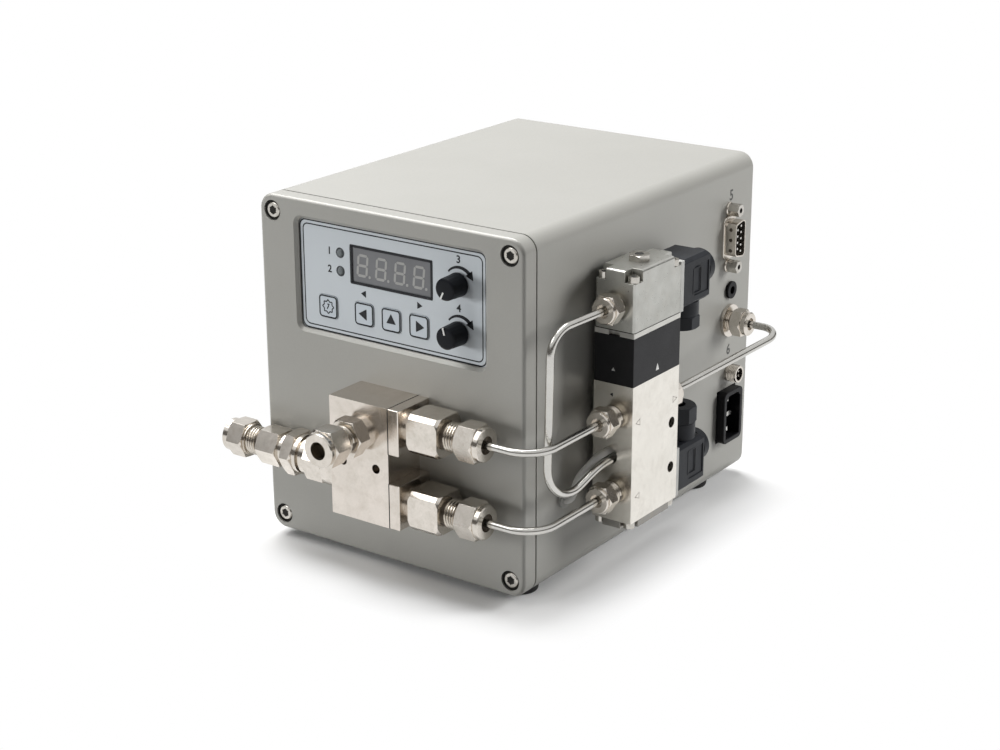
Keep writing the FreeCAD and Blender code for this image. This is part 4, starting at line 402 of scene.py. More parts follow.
# Painted shade: the base plate's dark tone stands in for the shade on its dim front face.
BASE_SHADE_STEEL = WornNickel("base_plate_painted_shade", (0.34, 0.33, 0.31), (0.26, 0.25, 0.23),
                        roughness=0.34, wander=0.03, grain=0.5, relief=0.0006, cloud=8.0, fine=0.2)
# Partly painted light: the jacket is pale grey, and its tone is raised further to make up for the light
# that it lacks beside the valve.
CABLE_AND_PAINTED_LIGHT = Finish("cable_jacket_painted_light", (0.78, 0.77, 0.74), (0.84, 0.83, 0.80), roughness=0.45, cloud=5.0,
               grain=0.2, relief=0.006)
LIGHT_STRIP = Finish("gasket_strip", (0.62, 0.61, 0.57), (0.70, 0.69, 0.65), roughness=0.5, cloud=5.0,
                     grain=0.25, relief=0.008)


class Bench:
    """The calls that every sub-assembly shares: shaping in millimetres and handing in a piece."""

    def dress(self, finish: Finish, *nodes: str) -> None:
        """Gives CAD nodes a finish.

        Args:
            finish: The finish.
            nodes: The nodes' names.
        """
        for name in nodes:
            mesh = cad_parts[name].data
            mesh.materials.clear()
            mesh.materials.append(finish.material())
            log.info("dressed %s with %s", name, finish.name)

    def hand_in(self, name: str, shape: bmesh.types.BMesh, finish: Finish, body: str = "housing",
                stands_for: tuple[str, ...] = (), slot: str | None = None, placed: bool = False,
                crease: float = 32.0) -> bpy.types.Object:
        """Makes a piece of the part from a shape.

        Args:
            name: The piece's name.
            shape: The shape, in millimetres of the housing unless it is placed.
            finish: Its finish.
            body: The body that it rides on.
            stands_for: The CAD nodes that it replaces.
            slot: Not used.
            placed: Whether the shape is already in the frame, in metres.
            crease: Degrees past which an edge stays sharp.

        Returns:
            The object.
        """
        if not placed:
            matrix = Matrix.Translation(ORIGIN) @ Matrix.Scale(MM, 4)
            bmesh.ops.transform(shape, matrix=matrix, verts=shape.verts)
        for face in shape.faces:
            face.smooth = True
        for edge in shape.edges:
            edge.smooth = len(edge.link_faces) == 2 and edge.calc_face_angle(0.0) < math.radians(crease)
        mesh = bpy.data.meshes.new(name)
        shape.to_mesh(mesh)
        shape.free()
        mesh.materials.append(finish.material())
        made = bpy.data.objects.new(name, mesh)
        bpy.context.scene.collection.objects.link(made)
        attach(made, body)
        if stands_for:
            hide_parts(*stands_for)
        log.info("piece %s: %d faces on %s", name, len(mesh.polygons), body)
        return made

    def renew(self, node: str, finish: Finish, soften: float = 0.0, body: str = "housing",
              crease: float = 32.0, steps: int = 2) -> bpy.types.Object:
        """Puts a merged copy in a CAD node's place, with its sharp edges softened.

        Args:
            node: The CAD node.
            finish: Its finish.
            soften: Millimetres taken off each side of a sharp edge, 0 for none.
            body: The body that it rides on.
            crease: Degrees past which an edge is sharp.
            steps: Faces across a softened edge.

        Returns:
            The object.
        """
        shape = bmesh.new()
        shape.from_mesh(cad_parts[node].data)
        bmesh.ops.remove_doubles(shape, verts=shape.verts, dist=2e-6)
        bmesh.ops.dissolve_limit(shape, angle_limit=math.radians(0.8), verts=shape.verts,
                                 edges=shape.edges)
        if soften > 0.0:
            sharp = [edge for edge in shape.edges
                     if edge.is_manifold and edge.calc_face_angle(0.0) > math.radians(crease)]
            bmesh.ops.bevel(shape, geom=sharp, offset=soften * MM, offset_type="OFFSET",
                            segments=steps, profile=0.5, affect="EDGES", material=-1,
                            clamp_overlap=True)
        made = self.hand_in(f"{node}_skin", shape, finish, body, (node,), placed=True, crease=crease)
        even = made.modifiers.new("even_shading", "WEIGHTED_NORMAL")
        even.keep_sharp = True
        return made

    def flat(self, width: float, height: float, corner: float = 0.0,
             steps: int = 6) -> bmesh.types.BMesh:
        """Makes one flat face with rounded corners, lying on its back at zero."""
        shape = bmesh.new()
        bmesh.ops.create_grid(shape, x_segments=1, y_segments=1, size=0.5)
        bmesh.ops.scale(shape, vec=(width, height, 1.0), verts=shape.verts)
        if corner > 0.0:
            bmesh.ops.bevel(shape, geom=shape.verts[:], offset=corner, offset_type="OFFSET",
                            segments=steps, profile=0.5, affect="VERTICES", material=-1)
        return shape

    def disc(self, radius: float, sides: int = 40) -> bmesh.types.BMesh:
        """Makes one flat round face, lying on its back at zero."""
        shape = bmesh.new()
        bmesh.ops.create_circle(shape, cap_ends=True, segments=sides, radius=radius)
        return shape

    def outline(self, shape: bmesh.types.BMesh, line: float) -> bmesh.types.BMesh:
        """Leaves only a line of the given width along the rim of flat faces."""
        inner = shape.faces[:]
        bmesh.ops.inset_region(shape, faces=inner, thickness=line, use_boundary=True,
                               use_even_offset=True)
        bmesh.ops.delete(shape, geom=inner, context="FACES")
        return shape

    def thicken(self, shape: bmesh.types.BMesh, depth: float) -> bmesh.types.BMesh:
        """Gives flat faces a body that reaches down from zero."""
        rim = bmesh.ops.extrude_face_region(shape, geom=shape.faces[:])
        low = [part for part in rim["geom"] if isinstance(part, bmesh.types.BMVert)]
        bmesh.ops.translate(shape, vec=(0.0, 0.0, -depth), verts=low)
        bmesh.ops.recalc_face_normals(shape, faces=shape.faces)
        return shape

    def lay(self, shape: bmesh.types.BMesh, facing: Facing, spot: Spot,
            turn: float = 0.0) -> bmesh.types.BMesh:
        """Turns a flat shape in its plane, faces it the way it looks and moves it to its spot."""
        matrix = Matrix.Translation(spot) @ facing.value @ Matrix.Rotation(math.radians(turn), 4, "Z")
        bmesh.ops.transform(shape, matrix=matrix, verts=shape.verts)
        return shape

    def join(self, *shapes: bmesh.types.BMesh) -> bmesh.types.BMesh:
        """Gathers shapes into the first of them."""
        first = shapes[0]
        for other in shapes[1:]:
            carrier = bpy.data.meshes.new("carrier")
            other.to_mesh(carrier)
            other.free()
            first.from_mesh(carrier)
            bpy.data.meshes.remove(carrier)
        return first

    def lathe(self, outline: list[tuple[float, float]], spot: Spot, along: Axis,
              steps: int = 48) -> bmesh.types.BMesh:
        """Spins an outline round an axis.

        Args:
            outline: Pairs of the distance along the axis and the radius.
            spot: Where the axis starts.
            along: The axis.
            steps: Faces round it.

        Returns:
            The closed shape.
        """
        shape = bmesh.new()
        corners = [shape.verts.new((radius, 0.0, way)) for way, radius in outline]
        edges = [shape.edges.new(pair) for pair in zip(corners, corners[1:])]
        bmesh.ops.spin(shape, geom=corners + edges, cent=(0, 0, 0), axis=(0, 0, 1),
                       angle=math.tau, steps=steps, use_merge=True)
        bmesh.ops.remove_doubles(shape, verts=shape.verts, dist=1e-4)
        bmesh.ops.recalc_face_normals(shape, faces=shape.faces)
        bmesh.ops.transform(shape, matrix=Matrix.Translation(spot) @ along.turn(), verts=shape.verts)
        return shape

    def pipe(self, points: list[Spot], bends: list[float], radius: float,
             sides: int = 28) -> bmesh.types.BMesh:
        """Draws a round pipe along straight runs and bends.

        Args:
            points: The ends and the corners of the route.
            bends: The bend's radius at each corner.
            radius: The pipe's own radius.
            sides: Faces round it.

        Returns:
            The closed pipe.
        """
        corners = [Vector(point) for point in points]
        shape = bmesh.new()
        bmesh.ops.create_circle(shape, cap_ends=False, segments=sides, radius=radius)
        heading = (corners[1] - corners[0]).normalized()
        turn = Vector((0, 0, 1)).rotation_difference(heading).to_matrix().to_4x4()
        bmesh.ops.transform(shape, matrix=Matrix.Translation(corners[0]) @ turn, verts=shape.verts)
        rim = shape.edges[:]
        reached = corners[0]
        for before, corner, after, bend in zip(corners, corners[1:], corners[2:], bends):
            come, leave = (corner - before).normalized(), (after - corner).normalized()
            swing = come.angle(leave)
            entry = corner - come * bend * math.tan(swing / 2)
            rim = self.push(shape, rim, entry - reached)
            pivot = come.cross(leave).normalized()
            centre = entry + pivot.cross(come) * bend
            spun = bmesh.ops.spin(shape, geom=rim, cent=centre, axis=pivot, angle=swing,
                                  steps=max(4, int(math.degrees(swing) / 4)), use_merge=False)
            rim = [part for part in spun["geom_last"] if isinstance(part, bmesh.types.BMEdge)]
            reached = corner + leave * bend * math.tan(swing / 2)
        self.push(shape, rim, corners[-1] - reached)
        bmesh.ops.remove_doubles(shape, verts=shape.verts, dist=1e-4)
        bmesh.ops.holes_fill(shape, edges=[edge for edge in shape.edges if edge.is_boundary], sides=0)
        bmesh.ops.recalc_face_normals(shape, faces=shape.faces)
        return shape

    def push(self, shape: bmesh.types.BMesh, rim: list[bmesh.types.BMEdge],
             way: Vector) -> list[bmesh.types.BMEdge]:
        """Draws a rim straight out along a way and gives the new rim."""
        drawn = bmesh.ops.extrude_edge_only(shape, edges=rim)["geom"]
        bmesh.ops.translate(shape, vec=way, verts=[part for part in drawn
                                                   if isinstance(part, bmesh.types.BMVert)])
        far = {part for part in drawn if isinstance(part, bmesh.types.BMVert)}
        return [part for part in drawn if isinstance(part, bmesh.types.BMEdge)
                and part.verts[0] in far and part.verts[1] in far]

    def thread(self, radius: float, pitch: float, length: float, spot: Spot, along: Axis,
               depth: float = 0.35) -> bmesh.types.BMesh:
        """Winds a ridge round a neck.

        Args:
            radius: The neck's radius, that of the thread's root.
            pitch: The step of one turn.
            length: How far the ridge winds.
            spot: Where it starts.
            along: The neck's axis.
            depth: How far it stands out.

        Returns:
            The open ridge, its feet inside the neck.
        """
        shape = bmesh.new()
        feet = [(-0.1, -0.46), (depth, -0.12), (depth, 0.12), (-0.1, 0.46)]
        points = [shape.verts.new((radius + out, 0.0, pitch * (way + 0.5))) for out, way in feet]
        loop = [shape.edges.new((points[k], points[(k + 1) % 4])) for k in range(4)]
        turns = max(1.0, length / pitch - 1.0)
        steps = int(turns * 28)
        bmesh.ops.spin(shape, geom=points + loop, cent=(0, 0, 0), axis=(0, 0, 1),
                       dvec=(0.0, 0.0, pitch * turns / steps), angle=math.tau * turns, steps=steps,
                       use_merge=False)
        ends = [edge for edge in shape.edges if edge.is_boundary]
        bmesh.ops.holes_fill(shape, edges=ends, sides=4)
        bmesh.ops.recalc_face_normals(shape, faces=shape.faces)
        bmesh.ops.transform(shape, matrix=Matrix.Translation(spot) @ along.turn(), verts=shape.verts)
        return shape

    def root(self, radius: float, length: float, spot: Spot, along: Axis) -> bmesh.types.BMesh:
        """Turns the plain round that a thread's ridge stands on."""
        outline = [(0.02, radius - 0.3), (0.02, radius + 0.04), (length - 0.02, radius + 0.04),
                   (length - 0.02, radius - 0.3)]
        return self.lathe(outline, spot, along)

    def triangle(self, radius: float, turn: float) -> bmesh.types.BMesh:
        """Makes a flat triangle with slightly rounded corners, its tip up before it is turned."""
        shape = self.disc(radius, 3)
        bmesh.ops.bevel(shape, geom=shape.verts[:], offset=radius * 0.10, offset_type="OFFSET",
                        segments=2, profile=0.5, affect="VERTICES", material=-1)
        tip_up = 90.0 - math.degrees(math.atan2(*reversed(self.tip_of(shape))))
        return self.lay(shape, Facing.UP, (0.0, 0.0, 0.0), tip_up + turn)

    def tip_of(self, shape: bmesh.types.BMesh) -> tuple[float, float]:
        """Finds one corner of a flat triangle."""
        far = max(shape.verts, key=lambda vert: (round(vert.co.length, 5), vert.co.y, vert.co.x))
        return far.co.x, far.co.y

    def numeral(self, words: str, height: float) -> bmesh.types.BMesh:
        """Makes a plain numeral, lying on its back with its middle at zero.

        Args:
            words: The numeral.
            height: Its height.

        Returns:
            Its flat faces.
        """
        curve = bpy.data.curves.new("numeral", "FONT")
        curve.body = words
        curve.align_x = "CENTER"
        curve.align_y = "CENTER"
        curve.size = height * 1.4
        curve.resolution_u = 4
        curve.offset = height * 0.035
        carrier = bpy.data.objects.new("numeral", curve)
        mesh = bpy.data.meshes.new_from_object(carrier)
        shape = bmesh.new()
        shape.from_mesh(mesh)
        bpy.data.objects.remove(carrier)
        bpy.data.curves.remove(curve)
        bpy.data.meshes.remove(mesh)
        return shape


@dataclass(frozen=True)
class SoftLamp:
    """A soft rectangular lamp: its place, aim and size in metres, and whether metal shows it."""

    name: str
    place: Spot
    target: Spot
    size: tuple[float, float]
    watts: float
    mirrored: bool = True


SOFT_LAMPS = (
    SoftLamp("overhead_softbox", (-0.50, 0.15, 1.25), (0.0, 0.0, 0.05), (1.0, 1.3), 28.0),
    SoftLamp("key_card", (-0.55, -0.66, 0.98), (0.0, 0.0, 0.07), (0.75, 0.40), 3.0),
    SoftLamp("left_softbox", (-1.14, -0.95, 0.20), (0.0, 0.0, 0.08), (0.5, 0.35), 13.0, False),
    SoftLamp("front_fill", (-0.60, -1.35, 0.25), (0.0, 0.0, 0.08), (0.9, 0.3), 1.0, False),
    SoftLamp("right_softbox", (0.95, 0.95, 0.55), (0.0, 0.0, 0.08), (0.45, 0.7), 20.0, False))


@dataclass
class Studio(Bench):
    """The plain floor, the soft lights and the camera at the photograph's viewing angle."""

    camera_place: Spot = (463.17, -648.6, 346.7)
    azimuth: float = 35.61
    elevation: float = 19.38
    roll: float = -0.18
    lens: float = 72.5
    sensor: float = 36.0
    world_level: float = 0.028
    floor_bounce: float = 0.30
    floor_fade: tuple[float, float] = (0.007, 0.036)
    footprint: tuple[float, float] = (0.065, 0.087)
    ring: float = 2.2
    ring_height: float = 0.98
    ring_gap: tuple[float, float] = (88.0, 170.0)

    def build(self) -> None:
        """Sets up everything that isn't the object."""
        bpy.context.scene.view_settings.view_transform = "Standard"
        self.floor()
        self.world()
        for lamp in SOFT_LAMPS:
            self.hang(lamp)
        self.horizon()
        self.camera()

    def floor(self) -> None:
        """Lays a pale floor that keeps the object's shadow and is white elsewhere."""
        shape = bmesh.new()
        bmesh.ops.create_grid(shape, x_segments=24, y_segments=24, size=4.0)
        mesh = bpy.data.meshes.new("floor")
        shape.to_mesh(mesh)
        shape.free()
        board = NodeBoard("pale_floor")
        rays = board.add("ShaderNodeLightPath").outputs
        seen = board.add("ShaderNodeMath", {0: rays["Is Camera Ray"], 1: rays["Is Glossy Ray"]},
                         operation="MAXIMUM").outputs[0]
        seen = board.add("ShaderNodeMath", {0: seen, 1: rays["Is Transmission Ray"]},
                         operation="MAXIMUM").outputs[0]
        paper = board.mix(board.spread(board.noise(220.0, 3.0), 0.0, 1.0), (0.90, 0.90, 0.90),
                          (0.92, 0.92, 0.915))
        tone = board.mix(seen, (self.floor_bounce,) * 3, paper)
        plain = board.add("ShaderNodeBsdfDiffuse", {"Color": tone}).outputs[0]
        fade = board.add("ShaderNodeMath", {0: self.away(board), 1: seen},
                         operation="MULTIPLY").outputs[0]
        glow = board.add("ShaderNodeEmission", {"Color": (1, 1, 1, 1), "Strength": 1.0}).outputs[0]
        both = board.add("ShaderNodeMixShader", {0: fade, 1: plain, 2: glow}).outputs[0]
        mesh.materials.append(board.close(both))
        made = bpy.data.objects.new("floor", mesh)
        bpy.context.scene.collection.objects.link(made)

    def away(self, board: NodeBoard) -> bpy.types.NodeSocket:
        """Gives how far a point of the floor is from the housing's footprint, 0 near it to 1."""
        feeds = {"Vector": board.place, "Location": tuple(-ORIGIN)}
        centred = board.add("ShaderNodeMapping", feeds).outputs[0]
        parts = board.add("ShaderNodeSeparateXYZ", {0: centred}).outputs
        beyond = []
        for part, half in zip(parts, self.footprint):
            size = board.add("ShaderNodeMath", {0: part}, operation="ABSOLUTE").outputs[0]
            past = board.add("ShaderNodeMath", {0: size, 1: half}, operation="SUBTRACT")
            beyond.append(past.outputs[0])
        most = board.add("ShaderNodeMath", {0: beyond[0], 1: beyond[1], 2: 0.03},
                         operation="SMOOTH_MAX").outputs[0]
        return board.spread(most, 0.0, 1.0, *self.floor_fade)

    def world(self) -> None:
        """Fills the room with plain light and shows it white to the camera, metal and glass."""
        world = bpy.data.worlds.new("studio")
        bpy.context.scene.world = world
        world.use_nodes = True
        tree = world.node_tree
        tree.nodes.clear()
        rays = tree.nodes.new("ShaderNodeLightPath").outputs
        seen = tree.nodes.new("ShaderNodeMath")
        seen.operation = "MAXIMUM"
        tree.links.new(rays["Is Camera Ray"], seen.inputs[0])
        tree.links.new(rays["Is Glossy Ray"], seen.inputs[1])
        through = tree.nodes.new("ShaderNodeMath")
        through.operation = "MAXIMUM"
        tree.links.new(seen.outputs[0], through.inputs[0])
        tree.links.new(rays["Is Transmission Ray"], through.inputs[1])
        level = tree.nodes.new("ShaderNodeMapRange")
        tree.links.new(through.outputs[0], level.inputs[0])
        level.inputs[3].default_value = self.world_level
        level.inputs[4].default_value = 1.0
        sky = tree.nodes.new("ShaderNodeBackground")
        tree.links.new(level.outputs[0], sky.inputs["Strength"])
        out = tree.nodes.new("ShaderNodeOutputWorld")
        tree.links.new(sky.outputs[0], out.inputs["Surface"])

    def aim(self, place: Vector, target: Vector) -> Matrix:
        """Turns a thing that looks down its own z axis from its place to a target."""
        turn = (target - place).to_track_quat("-Z", "Y").to_matrix().to_4x4()
        return Matrix.Translation(place) @ turn

    def hang(self, lamp: SoftLamp) -> None:
        """Hangs one lamp, out of the camera's sight.

        Args:
            lamp: The lamp.
        """
        light = bpy.data.lights.new(lamp.name, "AREA")
        light.shape = "RECTANGLE"
        light.size, light.size_y = lamp.size
        light.energy = lamp.watts
        made = bpy.data.objects.new(lamp.name, light)
        made.matrix_world = self.aim(Vector(lamp.place), Vector(lamp.target))
        made.visible_camera = False
        made.visible_glossy = lamp.mirrored
        bpy.context.scene.collection.objects.link(made)

    def horizon(self) -> None:
        """Stands a dark cloth round the scene, open behind it, which only reflections see."""
        shape = bmesh.new()
        bmesh.ops.create_cone(shape, cap_ends=False, segments=64, radius1=self.ring,
                              radius2=self.ring, depth=self.ring_height)
        bmesh.ops.translate(shape, vec=(0.0, 0.0, self.ring_height / 2), verts=shape.verts)
        bmesh.ops.reverse_faces(shape, faces=shape.faces)
        start, end = self.ring_gap
        middles = {face: face.calc_center_median() for face in shape.faces}
        gap = [face for face, middle in middles.items()
               if start < math.degrees(math.atan2(middle.y, middle.x)) < end]
        bmesh.ops.delete(shape, geom=gap, context="FACES")
        mesh = bpy.data.meshes.new("horizon_cloth")
        shape.to_mesh(mesh)
        shape.free()
        board = NodeBoard("horizon_cloth_weave")
        tone = board.mix(board.noise(60.0), (0.10, 0.095, 0.09), (0.14, 0.13, 0.12))
        mesh.materials.append(board.close(board.add("ShaderNodeEmission", {"Color": tone}).outputs[0]))
        made = bpy.data.objects.new("horizon_cloth", mesh)
        bpy.context.scene.collection.objects.link(made)
        made.visible_camera = False
        made.visible_shadow = False
        made.visible_diffuse = False

    def camera(self) -> None:
        """Places the camera."""
        lens = bpy.data.cameras.new("photo_camera")
        lens.sensor_width = self.sensor
        lens.lens = self.lens
        lens.clip_start = 0.01
        made = bpy.data.objects.new("photo_camera", lens)
        turn = (Matrix.Rotation(math.radians(self.azimuth), 4, "Z")
                @ Matrix.Rotation(math.radians(90.0 - self.elevation), 4, "X")
                @ Matrix.Rotation(math.radians(self.roll), 4, "Z"))
        made.matrix_world = Matrix.Translation(Vector(self.camera_place) * MM) @ turn
        bpy.context.scene.collection.objects.link(made)
        bpy.context.scene.camera = made


@dataclass
class Housing(Bench):
    """The painted case with its plates, screws, feet and seals."""

    edge: float = 0.35
    screw_columns: tuple[float, float] = (-58.2, 58.2)
    screw_rows: tuple[float, float] = (6.7, 138.3)
    socket_radius: float = 1.95
    socket_depth: float = 0.38
    sink_radius: float = 4.17
    sink_line: float = 0.75
    sink_depth: float = 0.75
    lobes: int = 6

    def build(self) -> None:
        """Dresses the case."""
        self.renew("enclosure_shell", CASE, 0.25, crease=40.0)
        self.renew("front_plate", PLATE, self.edge, crease=30.0, steps=3)
        self.renew("rear_panel", CASE, 0.2)
        self.dress(SEAL, "front_gasket")
        self.renew("case_screws", SCREW_STEEL, 0.12)
        self.renew("feet", RUBBER, 0.5, steps=3)
        self.sockets()
        self.dress(SCREW_STEEL, "mounting_screws")
        self.dress(BOARD, "circuit_boards")
        self.dress(ALUMINIUM, "board_standoffs", "power_supply")

    def sockets(self) -> None:
        """Paints shade into the lobed sockets of the four front screws and into the gaps round their
        heads.
        """
        dark = []
        sides = 48
        for across in self.screw_columns:
            for high in self.screw_rows:
                lobed = self.disc(self.socket_radius, sides)
                for index, vert in enumerate(lobed.verts):
                    dip = 0.80 + 0.20 * math.cos(math.tau * index * self.lobes / sides)
                    bmesh.ops.scale(lobed, vec=(dip,) * 3, verts=[vert])
                spot = (across, PLATE_FRONT + self.socket_depth, high)
                dark.append(self.lay(self.thicken(lobed, 0.2), Facing.FRONT, spot))
                gap = self.outline(self.disc(self.sink_radius), self.sink_line)
                spot = (across, PLATE_FRONT + self.sink_depth, high)
                dark.append(self.lay(self.thicken(gap, 0.2), Facing.FRONT, spot))
        self.hand_in("front_screw_socket_shade", self.join(*dark), SEAM_AND_SHADE, slot="steel_fasteners")


@dataclass
class ControlPanel(Bench):
    """The printed overlay in its pocket, with display, lamps, keys and knobs."""

    middle: tuple[float, float] = (0.2, 114.2)
    size: tuple[float, float] = (92.0, 45.4)
    # Size of the dark line painted along the overlay's rim as the pocket wall's shade.
    rim_shade_corner: float = 3.2
    rim_shade_width: float = 0.55
    inner_step: float = 3.2
    inner_corner: float = 2.6
    inner_line: float = 0.5
    display: tuple[float, float] = (0.3, 121.9)
    display_size: tuple[float, float] = (39.0, 14.2)
    digit_half: float = 2.25
    digit_step: float = 4.15
    digit_bar: float = 1.05
    digit_pitch: float = 9.3
    key_row: float = 102.2
    key_size: float = 9.3
    key_places: dict[str, float] = field(default_factory=lambda: {
        "key_menu": -31.8, "key_left": -13.4, "key_up": 0.2, "key_right": 13.9})
    knob_column: float = 33.1
    knob_rows: dict[str, float] = field(default_factory=lambda: {
        "knob_input": 122.6, "knob_timing": 103.2})
    pointer_turns: dict[str, float] = field(default_factory=lambda: {
        "knob_input": 207.0, "knob_timing": 345.0})
    lamp_column: float = -25.1
    lamp_rows: tuple[float, float] = (125.5, 118.0)
    print_lift: float = 0.03

    def build(self) -> None:
        """Builds the panel."""
        self.renew("membrane_panel", OVERLAY, 0.1)
        self.dress(SOCKET_BLACK, "key_switches", "potentiometers")
        self.dress(SCREW_STEEL, "shaft_input", "shaft_timing")
        self.border()
        self.window()
        self.digits()
        self.lamps()
        self.keys()
        self.small_arrows()
        self.knobs()
        self.dial_arcs()
        self.labels()

    def on_panel(self, x: float, z: float, lift: float = 0.0) -> Spot:
        """Gives a spot on the overlay's face, lifted towards the front."""
        return (x, OVERLAY_FRONT - self.print_lift - lift, z)

    def border(self) -> None:
        """Paints shade along the overlay's rim, where the pocket's wall shades it, and prints the line
        inside it.
        """
        wide, tall = self.size
        # The rim line is painted shade cast by the pocket's wall; the inner line is print.
        rim = self.outline(self.flat(wide, tall, self.rim_shade_corner, 10), self.rim_shade_width)
        self.lay(self.thicken(rim, 0.1), Facing.FRONT, self.on_panel(*self.middle))
        wide, tall = wide - self.inner_step, tall - self.inner_step
        inner = self.outline(self.flat(wide, tall, self.inner_corner, 10), self.inner_line)
        self.lay(self.thicken(inner, 0.1), Facing.FRONT, self.on_panel(*self.middle))
        self.hand_in("panel_rim_shade_and_inner_line", self.join(rim, inner), INK_AND_RIM_SHADE, slot="overlay")

    def window(self) -> None:
        """Sets the display's window and the dark frame round it."""
        self.renew("display_module", WINDOW, 0.15)
        wide, tall = self.display_size
        line = self.outline(self.flat(wide + 1.9, tall + 1.9, 0.6), 1.1)
        self.lay(self.thicken(line, 0.1), Facing.FRONT, self.on_panel(*self.display, 0.04))
        self.hand_in("display_frame_line", line, INK_AND_RIM_SHADE, slot="display")

    def bar(self, length: float, width: float, x: float, z: float, turn: float) -> bmesh.types.BMesh:
        """Makes one bar of a digit, pointed at both ends."""
        shape = self.flat(length, width, width * 0.49, 1)
        self.lay(shape, Facing.UP, (x, z, 0.0), turn)
        return shape

    def digits(self) -> None:
        """Sets four unlit seven-bar digits with their points."""
        half, step, thick = self.digit_half, self.digit_step, self.digit_bar
        bars = []
        for place in range(4):
            x = (place - 1.5) * self.digit_pitch - 0.4
            for row in (-1, 0, 1):
                bars.append(self.bar(half * 2 - 0.25, thick, x, row * step, 0.0))
            for side in (-1, 1):
                for row in (-0.5, 0.5):
                    bars.append(self.bar(step - 0.25, thick, x + side * half, row * step, 90.0))
            point = self.disc(0.6, 16)
            bars.append(self.lay(point, Facing.UP, (x + half + 1.65, -step, 0.0)))
        shape = self.join(*bars)
        slant = Matrix.Shear("XZ", 4, (0.0, 0.0))
        slant[0][1] = 0.10
        bmesh.ops.transform(shape, matrix=slant, verts=shape.verts)
        self.thicken(shape, 0.12)
        self.lay(shape, Facing.FRONT, (self.display[0], OVERLAY_FRONT + 0.26, self.display[1]))
        self.hand_in("display_digits", shape, SEGMENT, slot="display")

    def lamps(self) -> None:
        """Sets the two lamps and the dark rims round them."""
        self.renew("status_lamps", LAMP, 0.0, crease=45.0)
        rims = []
        for row in self.lamp_rows:
            rim = self.thicken(self.outline(self.disc(2.15), 0.32), 0.1)
            rims.append(self.lay(rim, Facing.FRONT, self.on_panel(self.lamp_column, row)))
        self.hand_in("lamp_rims", self.join(*rims), LINE_INK, slot="overlay")

    def gear(self) -> list[bmesh.types.BMesh]:
        """Makes the outline of a toothed wheel with a small plain stroke in it."""
        shape = self.disc(3.05, 96)
        for index, vert in enumerate(shape.verts):
            lobe = 0.90 + 0.10 * math.cos(math.radians(index * 3.75 * 8.0))
            bmesh.ops.scale(shape, vec=(lobe, lobe, 1.0), verts=[vert])
        self.outline(shape, 0.48)
        stroke = self.bar(2.6, 0.5, 0.0, 0.0, 62.0)
        cap = self.bar(1.3, 0.5, 0.15, 1.0, 0.0)
        return [shape, stroke, cap]

    def keys(self) -> None:
        """Dresses the four keys and prints their outlines and signs on them."""
        turns = {"key_left": 90.0, "key_up": 0.0, "key_right": -90.0}
        for name, x in self.key_places.items():
            self.renew(name, KEY_FILM, 0.25, body=name)
            parts = [self.outline(self.flat(self.key_size, self.key_size, 1.6), 0.62)]
            if name in turns:
                parts.append(self.triangle(2.75, turns[name]))
            else:
                parts.extend(self.gear())
            print_on = self.thicken(self.join(*parts), 0.08)
            self.lay(print_on, Facing.FRONT, (x, OVERLAY_FRONT - 0.4 - self.print_lift, self.key_row))
            self.hand_in(f"{name}_print", print_on, INK_AND_RIM_SHADE, body=name, slot="key")

    def small_arrows(self) -> None:
        """Prints the two small arrows over the outer keys."""
        first = self.thicken(self.triangle(1.7, 90.0), 0.08)
        second = self.thicken(self.triangle(1.7, -90.0), 0.08)
        self.lay(first, Facing.FRONT, self.on_panel(-13.3, 110.6))
        self.lay(second, Facing.FRONT, self.on_panel(13.9, 110.7))
        self.hand_in("small_arrows", self.join(first, second), INK_AND_RIM_SHADE, slot="overlay")

    def knobs(self) -> None:
        """Builds the two ribbed knobs, each with its pointer line."""
        for name, z in self.knob_rows.items():
            low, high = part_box(name)
            length = (high.y - low.y) / MM
            radius = (high.x - low.x) / MM / 2
            face = (low.y - ORIGIN.y) / MM
            outline = [(0.0, 0.0), (0.0, radius - 1.35), (0.08, radius - 0.85), (0.4, radius - 0.42),
                       (0.9, radius - 0.3), (length - 1.1, radius - 0.06), (length - 0.9, radius),
                       (length - 0.15, radius), (length, radius - 0.15), (length, 1.6)]
            shape = self.lathe(outline, (0.0, 0.0, 0.0), Axis.Z, 72)
            ribs = [vert for vert in shape.verts if 0.5 < vert.co.z < length - 1.0
                    and vert.co.xy.length > radius - 0.6
                    and int(round(math.degrees(math.atan2(vert.co.y, vert.co.x)) / 5.0)) % 4 < 2]
            bmesh.ops.scale(shape, vec=(0.988, 0.988, 1.0), verts=ribs)
            turned = Matrix.Translation((self.knob_column, face, z)) @ Axis.Y.turn()
            bmesh.ops.transform(shape, matrix=turned, verts=shape.verts)
            self.hand_in(f"{name}_grip", shape, KNOB, body=name, stands_for=(name,), slot="knob",
                         crease=28.0)
            line = self.thicken(self.flat(0.72, 3.0, 0.12, 2), 0.3)
            bmesh.ops.translate(line, vec=(0.0, radius - 1.95, 0.05), verts=line.verts)
            self.lay(line, Facing.FRONT, (self.knob_column, face, z), -self.pointer_turns[name])
            self.hand_in(f"{name}_pointer", line, WHITE_INK, body=name, slot="knob")

